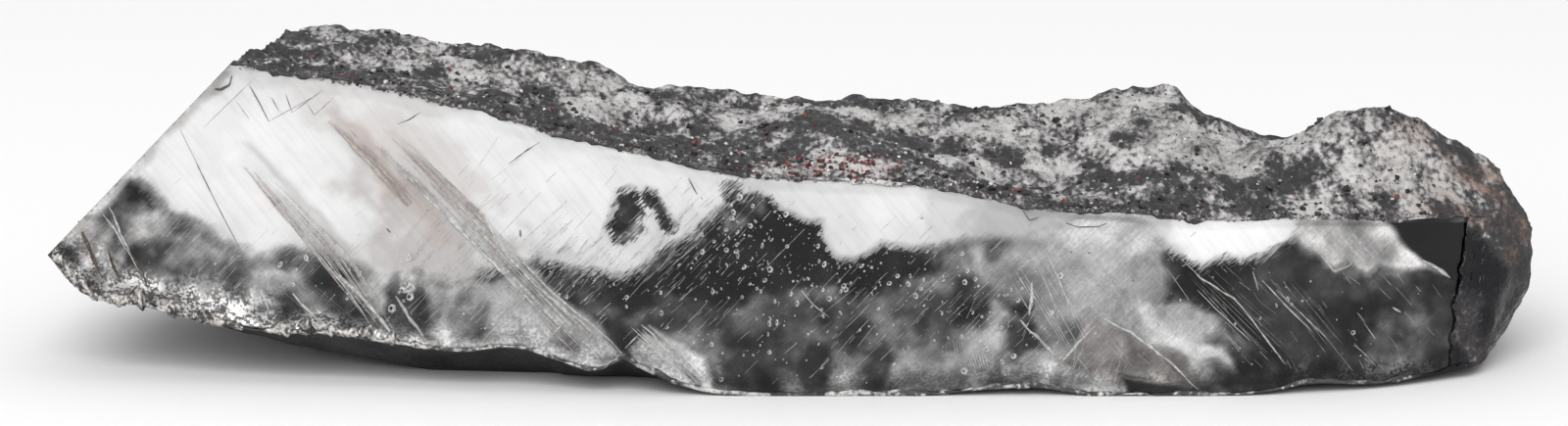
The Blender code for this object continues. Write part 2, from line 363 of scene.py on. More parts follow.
# cleavage streaks: noise drawn out along one direction in the plane of the front
def makeStreakGroup():
    group = bpy.data.node_groups.new("cleavageStreaks", "ShaderNodeTree")
    turn = group.interface.new_socket("Turn", in_out="INPUT", socket_type="NodeSocketVector")
    turn.default_value = (0, math.radians(45), 0)
    size = group.interface.new_socket("Stretch", in_out="INPUT", socket_type="NodeSocketVector")
    size.default_value = (120, 200, 4000)
    group.interface.new_socket("Mask", in_out="OUTPUT", socket_type="NodeSocketFloat")
    start = addNode(group, "NodeGroupInput", (-900, 0))
    end = addNode(group, "NodeGroupOutput", (300, 0))
    place = addNode(group, "ShaderNodeTexCoord", (-900, 260))
    turned = addNode(group, "ShaderNodeMapping", (-650, 100))
    stretched = addNode(group, "ShaderNodeVectorMath", (-420, 100), operation="MULTIPLY")
    streak = addNode(group, "ShaderNodeTexNoise", (-200, 100))
    streak.inputs["Scale"].default_value = 1.0
    streak.inputs["Detail"].default_value = 4.0
    link = group.links.new
    link(place.outputs["Object"], turned.inputs["Vector"])
    link(start.outputs["Turn"], turned.inputs["Rotation"])
    link(turned.outputs["Vector"], stretched.inputs[0])
    link(start.outputs["Stretch"], stretched.inputs[1])
    link(stretched.outputs["Vector"], streak.inputs["Vector"])
    link(streak.outputs["Fac"], end.inputs["Mask"])
    return group


grainGroup = makeGrainGroup()
streakGroup = makeStreakGroup()


# the painted colour, made lighter and darker by fine grain and, if asked, by streaks
def paintedMaterial(name, look):
    material, tree, shader = newMaterial(name, Roughness=look["roughness"])
    shader.inputs["Specular IOR Level"].default_value = look["specular"]
    paint = addNode(tree, "ShaderNodeVertexColor", (-900, 300), layer_name="paint")
    grain = addNode(tree, "ShaderNodeGroup", (-900, 0), node_tree=grainGroup)
    grain.inputs["Coarse"].default_value = look["coarse"]
    grain.inputs["Fine"].default_value = look["fine"]
    grain.inputs["Contrast"].default_value = look["contrast"]
    factor = addNode(tree, "ShaderNodeMapRange", (-640, 0))
    factor.inputs["To Min"].default_value = look["darkest"]
    factor.inputs["To Max"].default_value = look["lightest"]
    tint = addNode(tree, "ShaderNodeVectorMath", (-400, 200), operation="SCALE")
    bump = addNode(tree, "ShaderNodeBump", (-400, -200))
    bump.inputs["Strength"].default_value = look["bump"]
    bump.inputs["Distance"].default_value = look["bumpHeight"] * mm
    link = tree.links.new
    link(grain.outputs["Mask"], factor.inputs["Value"])
    link(paint.outputs["Color"], tint.inputs[0])
    link(factor.outputs["Result"], tint.inputs["Scale"])
    link(grain.outputs["Height"], bump.inputs["Height"])
    link(bump.outputs["Normal"], shader.inputs["Normal"])
    link(tint.outputs["Vector"], shader.inputs["Base Color"])
    if look.get("streaks"):
        streak = addNode(tree, "ShaderNodeGroup", (-640, 460), node_tree=streakGroup)
        streak.inputs["Stretch"].default_value = look["streaks"]
        lift = addNode(tree, "ShaderNodeMapRange", (-400, 460))
        lift.inputs["From Min"].default_value = 0.3
        lift.inputs["From Max"].default_value = 0.7
        lift.inputs["To Min"].default_value = look["streakDark"]
        lift.inputs["To Max"].default_value = look["streakLight"]
        streaked = addNode(tree, "ShaderNodeVectorMath", (-200, 300), operation="SCALE")
        link(streak.outputs["Mask"], lift.inputs["Value"])
        link(tint.outputs["Vector"], streaked.inputs[0])
        link(lift.outputs["Result"], streaked.inputs["Scale"])
        link(streaked.outputs["Vector"], shader.inputs["Base Color"])
    return material


# gives a socket a number or a colour, or links another node's output to it
def feed(tree, socket, value):
    if isinstance(value, bpy.types.NodeSocket):
        tree.links.new(value, socket)
    elif isinstance(value, tuple) and socket.type == "RGBA":
        socket.default_value = (*value, 1)
    else:
        socket.default_value = value


def mixColour(tree, factor, first, second, place=(0, 0)):
    node = addNode(tree, "ShaderNodeMix", place, data_type="RGBA")
    for socket, value in zip((node.inputs[0], node.inputs[6], node.inputs[7]),
                             (factor, first, second)):
        feed(tree, socket, value)
    return node.outputs[2]


def calculate(tree, operation, *values, place=(0, 0)):
    node = addNode(tree, "ShaderNodeMath", place, operation=operation)
    for socket, value in zip(node.inputs, values):
        feed(tree, socket, value)
    return node.outputs[0]


# 0 at low, 1 at high and a smooth S between, or an even slope from toLow to toHigh
def ramp(tree, value, low, high, toLow=0.0, toHigh=1.0, place=(0, 0)):
    node = addNode(tree, "ShaderNodeMapRange", place, interpolation_type="SMOOTHSTEP")
    for key, given in (("Value", value), ("From Min", low), ("From Max", high),
                       ("To Min", toLow), ("To Max", toHigh)):
        feed(tree, node.inputs[key], given)
    return node.outputs["Result"]


def scaleColour(tree, colour, amount, place=(0, 0)):
    node = addNode(tree, "ShaderNodeVectorMath", place, operation="SCALE")
    feed(tree, node.inputs[0], colour)
    feed(tree, node.inputs["Scale"], amount)
    return node.outputs["Vector"]


def useGroup(tree, group, place=(0, 0), **values):
    node = addNode(tree, "ShaderNodeGroup", place, node_tree=group)
    for key, value in values.items():
        feed(tree, node.inputs[key], value)
    return node.outputs


def addBump(tree, shader, height, strength, distance, place=(0, -300)):
    bump = addNode(tree, "ShaderNodeBump", place)
    bump.inputs["Strength"].default_value = strength
    bump.inputs["Distance"].default_value = distance * mm
    tree.links.new(height, bump.inputs["Height"])
    tree.links.new(bump.outputs["Normal"], shader.inputs["Normal"])


# the inside of the crystal: a deep colour and a pale one, divided by an edge that frays into
# hairs along the rising cleavage. The pale one is a painted reflection of the white surroundings.
# The edge layer holds distance, fur width and softness in mm
def paintedReflectionMaterial(name, look):
    material, tree, shader = newMaterial(name, Roughness=look["roughness"])
    shader.inputs["Specular IOR Level"].default_value = 0.0
    deep = addNode(tree, "ShaderNodeVertexColor", (-1500, 500), layer_name="deep").outputs[0]
    # the pale layer: the painted reflection of the white surroundings
    pale = addNode(tree, "ShaderNodeVertexColor", (-1500, 350), layer_name="pale").outputs[0]
    edge = addNode(tree, "ShaderNodeVertexColor", (-1500, 100), layer_name="edge")
    parts = addNode(tree, "ShaderNodeSeparateColor", (-1300, 100))
    tree.links.new(edge.outputs[0], parts.inputs[0])
    turn = (0, math.radians(look["rising"]), 0)
    long = useGroup(tree, streakGroup, (-1500, -150), Turn=turn, Stretch=look["longHairs"])[0]
    short = useGroup(tree, streakGroup, (-1500, -350), Turn=turn, Stretch=look["shortHairs"])[0]
    hairs = calculate(tree, "ADD", long, short, place=(-1300, -200))
    hairs = calculate(tree, "SUBTRACT", hairs, 1.0, place=(-1150, -200))
    hairs = calculate(tree, "MULTIPLY", hairs, look["hairContrast"], place=(-1000, -200))
    frayed = calculate(tree, "MULTIPLY_ADD", hairs, parts.outputs[1], parts.outputs[0],
                       place=(-850, 0))
    backEdge = calculate(tree, "MULTIPLY", parts.outputs[2], -1.0, place=(-1000, 100))
    mask = ramp(tree, frayed, backEdge, parts.outputs[2], place=(-650, 0))
    cloud = useGroup(tree, grainGroup, (-1500, 800), Coarse=look["coarse"], Fine=look["fine"],
                     Contrast=look["contrast"])
    lift = ramp(tree, cloud[0], 0.0, 1.0, look["darkest"], look["lightest"], place=(-1200, 800))
    streaky = ramp(tree, long, 0.3, 0.7, look["streakDark"], look["streakLight"], (-1200, 650))
    lift = calculate(tree, "MULTIPLY", lift, streaky, place=(-1000, 700))
    falling = (0, math.radians(look["falling"]), 0)
    planes = useGroup(tree, streakGroup, (-1500, -550), Turn=falling, Stretch=look["planeHairs"])[0]
    planes = ramp(tree, planes, 0.36, 0.64, look["planeDark"], look["planeLight"], (-1200, -550))
    lift = calculate(tree, "MULTIPLY", lift, planes, place=(-850, 700))
    # the painted reflection, faintly clouded and crossed by the falling planes
    faint = ramp(tree, cloud[0], 0.0, 1.0, look["reflectionDarkest"], 1.0, place=(-1000, 900))
    faint = calculate(tree, "MULTIPLY", faint, calculate(tree, "MINIMUM", planes, 1.0),
                      place=(-850, 900))
    colour = mixColour(tree, mask, scaleColour(tree, deep, lift, (-800, 500)),
                       scaleColour(tree, pale, faint, (-800, 300)), (-400, 300))
    grit = addNode(tree, "ShaderNodeVertexColor", (-1500, 1100), layer_name="grit")
    gritParts = addNode(tree, "ShaderNodeSeparateColor", (-1300, 1100))
    tree.links.new(grit.outputs[0], gritParts.inputs[0])
    sugar = useGroup(tree, grainGroup, (-1500, 1300), Coarse=look["sugar"][0],
                     Fine=look["sugar"][1], Contrast=5.0)[0]
    sugar = ramp(tree, sugar, 0.1, 0.9, look["sugarDark"] - 1, look["sugarLight"] - 1, (-1200, 1300))
    gritty = calculate(tree, "MULTIPLY_ADD", sugar, gritParts.outputs[0], 1.0, place=(-1000, 1200))
    colour = scaleColour(tree, colour, gritty, (-200, 400))
    tree.links.new(colour, shader.inputs["Base Color"])
    addBump(tree, shader, cloud[1], look["bump"], look["bumpHeight"])
    return material


# the crust: dark and pale minerals in sharp-edged patches, each with flecks of the other.
# The paint layer holds how pale, how brown and how glassy the surface is
def crustMaterial(name, look):
    material, tree, shader = newMaterial(name, Roughness=look["roughness"])
    shader.inputs["Specular IOR Level"].default_value = look["specular"]
    paint = addNode(tree, "ShaderNodeVertexColor", (-1500, 300), layer_name="paint")
    parts = addNode(tree, "ShaderNodeSeparateColor", (-1300, 300))
    tree.links.new(paint.outputs[0], parts.inputs[0])
    weight = {"Fine Weight": look["fineWeight"]}
    broad = useGroup(tree, grainGroup, (-1500, 0), Coarse=look["broad"][0], Fine=look["broad"][1],
                     Contrast=3.0, Depthwise=look["depthwise"], **weight)
    small = useGroup(tree, grainGroup, (-1500, -300), Coarse=look["small"][0],
                     Fine=look["small"][1], Contrast=3.0, Depthwise=look["depthwise"])
    uneven = calculate(tree, "SUBTRACT", broad[1], 1.0, place=(-1100, 100))
    pale = calculate(tree, "MULTIPLY_ADD", uneven, look["patchBreak"], parts.outputs[0],
                     place=(-950, 100))
    pale = ramp(tree, pale, 0.5 - look["patchSoft"], 0.5 + look["patchSoft"], place=(-800, 100))
    fleck = ramp(tree, small[1], *look["fleckFrom"], 0.0, look["fleckPale"], (-1100, -200))
    fleck = calculate(tree, "MULTIPLY", fleck, ramp(tree, parts.outputs[0], 0.0, 0.08),
                      place=(-900, -200))
    pit = ramp(tree, small[1], *look["pitFrom"], 0.0, look["pitDark"], (-1100, -400))
    dark = mixColour(tree, fleck, look["darkColour"], look["paleColour"], (-600, -100))
    light = mixColour(tree, pit, look["paleColour"], look["darkColour"], (-600, -300))
    colour = mixColour(tree, pale, dark, light, (-400, 0))
    browned = calculate(tree, "MULTIPLY", parts.outputs[1], broad[0], place=(-600, 250))
    colour = mixColour(tree, browned, colour, look["brownColour"], (-250, 100))
    shade = ramp(tree, broad[0], 0.0, 1.0, look["darkest"], look["lightest"], (-600, 450))
    colour = scaleColour(tree, colour, shade, (-100, 200))
    colour = mixColour(tree, parts.outputs[2], colour, look["glassyColour"], (50, 200))
    tree.links.new(colour, shader.inputs["Base Color"])
    gloss = ramp(tree, parts.outputs[2], 0.0, 1.0, look["roughness"], look["glassyRoughness"],
                 (-250, -150))
    tree.links.new(gloss, shader.inputs["Roughness"])
    height = calculate(tree, "MULTIPLY_ADD", small[1], 0.4, broad[1], place=(-600, -500))
    addBump(tree, shader, height, look["bump"], look["bumpHeight"])
    return material


# clear selenite: plain glass-like transmission with a trace of grey, finely scratched
def clearMaterial():
    material, tree, shader = newMaterial(
        "clearSelenite", Roughness=0.02, IOR=1.52, Metallic=0.0)
    shader.inputs["Transmission Weight"].default_value = 1.0
    shader.inputs["Base Color"].default_value = (1, 1, 1, 1)
    streak = addNode(tree, "ShaderNodeGroup", (-700, -200), node_tree=streakGroup)
    streak.inputs["Stretch"].default_value = (90, 200, 2600)
    bump = addNode(tree, "ShaderNodeBump", (-400, -200))
    bump.inputs["Strength"].default_value = 0.12
    bump.inputs["Distance"].default_value = 0.05 * mm
    tree.links.new(streak.outputs["Mask"], bump.inputs["Height"])
    tree.links.new(bump.outputs["Normal"], shader.inputs["Normal"])
    haze = addNode(tree, "ShaderNodeVolumeAbsorption", (0, -400))
    haze.inputs["Color"].default_value = (0.80, 0.80, 0.82, 1)
    haze.inputs["Density"].default_value = 4.0
    tree.links.new(haze.outputs["Volume"], tree.nodes["Material Output"].inputs["Volume"])
    return material


# a plain finish with grain, for the small loose-looking pieces
def plainMaterial(name, colour, roughness, darkest=0.6, lightest=1.3):
    material, tree, shader = newMaterial(name, Roughness=roughness)
    grain = addNode(tree, "ShaderNodeGroup", (-900, 0), node_tree=grainGroup)
    factor = addNode(tree, "ShaderNodeMapRange", (-640, 0))
    factor.inputs["To Min"].default_value = darkest
    factor.inputs["To Max"].default_value = lightest
    base = addNode(tree, "ShaderNodeRGB", (-640, 260))
    base.outputs[0].default_value = (*colour, 1)
    tint = addNode(tree, "ShaderNodeVectorMath", (-400, 120), operation="SCALE")
    tree.links.new(grain.outputs["Mask"], factor.inputs["Value"])
    tree.links.new(base.outputs[0], tint.inputs[0])
    tree.links.new(factor.outputs["Result"], tint.inputs["Scale"])
    tree.links.new(tint.outputs["Vector"], shader.inputs["Base Color"])
    return material


# the crust: one shell over the top, back, underside and right end, open on the front and left.
# Its section is a C-shaped path in (w, v), carried along u and closed over the nose
crust = {
    "alongSteps": 400, "noseRings": 22,
    "outerSteps": (128, 22, 24, 4), "innerSteps": (3, 12, 26, 14, 6),
    "topThick": 0.34, "underThick": 0.4, "backThick": 3.0, "deep": 62.0,
    "lipThick": 0.16, "lipThickFrom": (-36.0, -50.0),
    "closesFrom": 0.955, "closesBy": 0.985, "glassyFrom": (81.0, 21.0), "glassySlope": 1.03,
    "lipRagged": 0.1, "lipTeeth": 0.12, "lipWave": 4.0, "lipProud": 0.3, "closeRagged": 0.005,
    "innerDip": 1.3,
    "relief": 0.55, "reliefWave": 4.2, "pebble": 0.36, "pebbleWave": 1.4,
    "seed": 41,
}
# pale patches on the crust: x, y, half width along x and y, how pale
palePatches = [
    (3, -26, 10, 9, 1.15), (14, -27, 6, 5, 0.6), (-14, 10, 10, 9, 0.75), (-46, 2, 15, 12, 0.75),
    (-60, 20, 10, 8, 1.0), (-31, -2, 9, 8, 0.55), (1, 12, 8, 10, 0.6), (17, 14, 12, 11, 0.8),
    (40, 19, 13, 11, 1.15), (52, 4, 12, 11, 1.2), (66, -7, 12, 10, 0.85), (73, -20, 10, 7, 0.95),
    (44, -8, 12, 7, 0.75), (-28, 20, 9, 7, 0.5), (24, -4, 9, 7, 0.5), (83, 2, 6, 12, 0.3),
    (61, -29, 5, 4, 0.5), (80, -16, 6, 7, 0.4), (36, -22, 16, 5, 0.5), (-57, -8, 9, 9, 0.6),
]
darkPatches = [
    (-24, -25, 15, 7, 1.0), (34, -30, 17, 2, 0.6), (8, 3, 4, 8, 0.7), (30, 2, 7, 4, 0.7),
    (60, 14, 6, 5, 0.3), (-66, -14, 5, 8, 0.7), (-50, -24, 12, 6, 0.7), (57, -13, 5, 5, 0.7),
    (49, -29, 8, 2, 0.3), (21, 22, 6, 6, 0.6), (87, -12, 5, 10, 0.8),
]


# soft round patches added together: each is 1 at its middle and fades over its half widths
def patchMask(patches, x, y):
    total = np.zeros(x.shape)
    for px, py, wide, deep, strength in patches:
        total = total + strength * np.exp(-((x - px) / wide) ** 2 - ((y - py) / deep) ** 2)
    return total


# how pale, brown and glassy the crust is: patches and broad noise on top, brown towards the
# right end, glassy below the slanting line where the black end of the crystal comes through
def crustPaint(place):
    x, y, z = np.moveaxis(place, -1, 0)
    cloud = fractal(x, y, z, 8.0, 51, 4)
    patch = patchMask(palePatches, x, y) - 0.7 * patchMask(darkPatches, x, y)
    pale = 0.18 + 0.52 * patch + 0.30 * cloud
    brown = smoothStep(66, 88, x) * smoothStep(-0.6, 0.5, noise(x * 0.5, y, z, 2.4, 61))
    onLip = smoothStep(-28.5, -30.5, y) * smoothStep(-8, -26, x)
    brown = np.maximum(brown, 0.8 * onLip * smoothStep(0.0, 0.6, noise(x, y, z, 1.7, 67)))
    across, up = seenFrom(place, 0.0)
    lineX, lineZ = crust["glassyFrom"]
    below = lineZ - crust["glassySlope"] * (across - lineX) - up
    below = below + 0.7 * fractal(x, y, z, 3.0, 63, 3)
    underLip = smoothStep(0.3, 1.2, smoothRail(slab["frontTop"], x) - z)
    start = np.where(underLip > 0.5, 75.0, 80.0)
    front = smoothStep(start, start + 1.5, across) * smoothStep(-0.3, 0.6, below)
    front = front * smoothStep(14, 4, y)
    pale = pale - 0.75 * front
    glassy = front * smoothStep(0.9, -0.1, noise(x, y, z, 3.2, 65) + 0.5 * smoothStep(9, 3, z))
    brown = brown * (1 - 0.7 * front)
    return np.stack([np.clip(pale, 0.08, 1), 0.8 * brown * (1 - glassy), glassy], -1)


# the height of the crust's broken surface, in millimetres
def crustRelief(place):
    x, y, z = np.moveaxis(place, -1, 0)
    broad = crust["relief"] * fractal(x, y, z, crust["reliefWave"], crust["seed"], 4)
    return broad + crust["pebble"] * noise(x, y, z, crust["pebbleWave"], crust["seed"] + 7)


# the top of the crust where u and w are given: the slab's top raised by the relief
def crustTop(u, w):
    place = slabPoint(u, w, np.ones_like(u))
    place[..., 2] += crustRelief(place) * (0.35 + 0.65 * smoothStep(0.0, 0.02, w))
    return place


def makeCrust():
    count = crust["alongSteps"]
    u = np.linspace(0, 1, count)[:, None]
    height = topHeight(-68 + 153 * u, frontY(0 * u), 0 * u)
    tall = np.maximum(height - smoothRail(slab["frontRim"], -92 + 175 * u), 8.0)
    deep = crust["deep"]
    x = -68.6 + 153.6 * u
    thick = smoothStep(*crust["lipThickFrom"], x)
    ragged = (0.4 + crust["lipRagged"] * thick) * fractal(x, 0 * x, 0 * x, crust["lipWave"], 71, 5)
    ragged = ragged + crust["lipTeeth"] * noise(x, 0 * x, 0 * x, 0.9, 73)
    lip = np.clip(crust["topThick"] + crust["lipThick"] * thick + ragged, 0.3, 2.6) / tall
    floorIn = crust["underThick"] / tall
    backIn = (1 - crust["backThick"] / deep) + 0 * u
    ragged = 0.3 * fractal(x, 0 * x, 0 * x, 3.0, 77, 4)
    rim = np.clip(crust["underThick"] + ragged, 0.2, 1.0) / tall

    outer = walkPath([(0, 1), (1, 1), (1, 0), (0, 0), (0, 0)], crust["outerSteps"])
    outer = outer[:sum(crust["outerSteps"][:3])]
    outer[:, 0] = np.where(outer[:, 1] == 1, outer[:, 0] ** 1.35, outer[:, 0])
    w = [np.repeat(outer[:, 0][None], count, 0)]
    v = [np.repeat(outer[:, 1][None], count, 0)]
    legs = [((0 * u, 0 * u), (0 * u, rim)), ((0 * u, rim), (backIn, floorIn)),
            ((backIn, floorIn), (backIn, 1 - 1.2 * lip)), ((backIn, 1 - 1.2 * lip), (0 * u, 1 - lip)),
            ((0 * u, 1 - lip), (0 * u, 1 + 0 * u))]
    for (a, b), steps in zip(legs, crust["innerSteps"]):
        t = (np.arange(steps) / steps)[None]
        w.append(a[0] + (b[0] - a[0]) * t)
        v.append(a[1] + (b[1] - a[1]) * t)
    w = np.hstack(w)
    v = np.hstack(v)
    underTop = (np.arange(w.shape[1]) >= len(outer))[None] & (v > 0.6)
    stillOpen = smoothStep(crust["closesFrom"], crust["closesFrom"] - 0.03, u)
    v = v - underTop * stillOpen * crust["innerDip"] / tall * smoothStep(0.0, 0.04, w)
    uu = np.repeat(u, w.shape[1], 1)
    ragged = crust["closeRagged"] * fractal(30 * v, 200 * (uu - 1), 0 * v, 9.0, 79, 4)
    closing = 1 - smoothStep(crust["closesFrom"], crust["closesBy"], uu + ragged)
    w[:, len(outer):] *= closing[:, len(outer):]

    shrink = np.cos(np.linspace(0, np.pi / 2, crust["noseRings"] + 1)[1:-1])[:, None]
    w = np.vstack([w, 0.5 + (w[-1:] - 0.5) * shrink])
    v = np.vstack([v, 0.5 + (v[-1:] - 0.5) * shrink])
    uu = np.vstack([uu, np.ones((len(shrink), w.shape[1]))])

    place = slabPoint(uu, w, v)
    n = len(outer)
    relief = crustRelief(place)
    onTop = (v > 0.999) & (np.arange(w.shape[1]) <= n)[None]
    onBack = smoothStep(0.9, 1.0, w) * ((v < 0.999) & (v > 0.001))
    onNose = smoothStep(0.985, 1.0, uu)
    fromEdge = smoothStep(0.0, 0.02, w)
    place[..., 2] += relief * onTop * (0.35 + 0.65 * fromEdge)
    place[..., 1] += relief * onBack
    place[..., 0] += 0.8 * relief * onNose
    near = np.exp(-w * deep / 1.2) * (v > 0.5)
    proud = crust["lipProud"] * (0.7 + 0.6 * noise(place[..., 0], 0 * w, place[..., 2], 1.1, 83))
    place[..., 1] -= np.clip(proud, 0.06, 0.8) * near
    low = np.exp(-w * deep / 1.0) * (v < 0.5)
    place[..., 1] -= 0.15 * low
    place[..., 2] = np.maximum(place[..., 2], 0.0)
    points, faces = closeTube(place, startPole=False)
    paint = crustPaint(place)
    # the inner faces, behind the crystal, are painted nearly white: painted light, so that more light
    # bounces onto the white inside the crystal
    inner = (np.arange(w.shape[1]) > n)[None] & (w > 0.03) & (uu < crust["closesFrom"])
    frosted = (v < 0.5) & (w < 0.03) & (uu < crust["closesFrom"])
    # the outer underside is painted plain dark, with no pale patches or flecks: painted shade for the
    # shadow it stands in over the table
    under = (v < 0.001) & ~inner
    paint[..., 0] = np.where(under, -1.5, paint[..., 0])
    rimPale = 0.3 + 0.6 * noise(place[..., 0], 0 * w, 0 * w, 2.3, 87) + 0.3 * relief
    paint[..., 0] = np.where(inner, 0.95, np.where(frosted, rimPale, paint[..., 0]))
    paint = np.vstack([paint.reshape(-1, 3), paint[-1].mean(0)])
    return points, faces, paint


crustLook = {
    "roughness": 0.62, "specular": 0.3, "broad": (240.0, 1500.0), "small": (1500.0, 4200.0),
    "fineWeight": 0.55, "depthwise": 0.42, "patchBreak": 2.3, "patchSoft": 0.30,
    "fleckFrom": (1.08, 1.30), "fleckPale": 0.22, "pitFrom": (0.92, 0.74), "pitDark": 0.6,
    "darkColour": (0.052, 0.050, 0.053), "paleColour": (0.31, 0.303, 0.30),
    "brownColour": (0.13, 0.085, 0.065), "glassyColour": (0.010, 0.010, 0.012),
    "glassyRoughness": 0.16, "darkest": 0.68, "lightest": 1.25, "bump": 0.75, "bumpHeight": 0.4,
}
points, faces, paint = makeCrust()
crustPiece = finishPiece(makeMesh("crust_shell", points, faces, {"paint": paint}),
                         crustMaterial("crustRough", crustLook))

# the clear crystal: the whole slab, drawn in under the crust so that the two never coincide
clear = {"along": 240, "across": (40, 20, 40, 26), "underCrust": 0.2, "dip": 1.2, "rightEnd": 0.9945,
         "rings": 8}


# a closed block in the slab's own directions, from u0 to u1, with its section's path given
def blockPoints(u, w, v, rings):
    w, v = np.broadcast_arrays(w, v)
    uu = np.repeat(u, w.shape[1], 1) if u.shape[1] == 1 else u
    shrink = np.linspace(1, 0, rings + 1)[1:-1][:, None]
    wMid, vMid = w.mean(1, keepdims=True), v.mean(1, keepdims=True)
    startW = wMid[:1] + (w[:1] - wMid[:1]) * shrink[::-1]
    startV = vMid[:1] + (v[:1] - vMid[:1]) * shrink[::-1]
    endW = wMid[-1:] + (w[-1:] - wMid[-1:]) * shrink
    endV = vMid[-1:] + (v[-1:] - vMid[-1:]) * shrink
    uu = np.vstack([np.repeat(uu[:1], len(shrink), 0), uu, np.repeat(uu[-1:], len(shrink), 0)])
    return uu, np.vstack([startW, w, endW]), np.vstack([startV, v, endV])


# points moved back, if need be, until they lie a given depth behind the front face
def keepBehindFront(place, depth):
    nearest = frontY(place[..., 0]) + depth
    place[..., 1] = np.maximum(place[..., 1], nearest)
    return place


def makeClear():
    u = np.linspace(0, clear["rightEnd"], clear["along"])[:, None]
    inset = clear["underCrust"] / 22.0
    path = walkPath([(0, 1 - inset), (0.97, 1 - inset), (0.97, inset), (0, inset)], clear["across"])
    w = np.repeat(path[:, 0][None], len(u), 0)
    v = np.repeat(path[:, 1][None], len(u), 0)
    v = v - clear["dip"] / 22.0 * smoothStep(0.0, 0.04, w) * (v > 0.5)
    uu, w, v = blockPoints(u, w, v, clear["rings"])
    return closeTube(keepBehindFront(slabPoint(uu, w, v), 0.0))


points, faces = makeClear()
clearPiece = finishPiece(makeMesh("clear_selenite", points, faces, smooth=True),
                         clearMaterial())
clearPiece.data.set_sharp_from_angle(angle=math.radians(30))

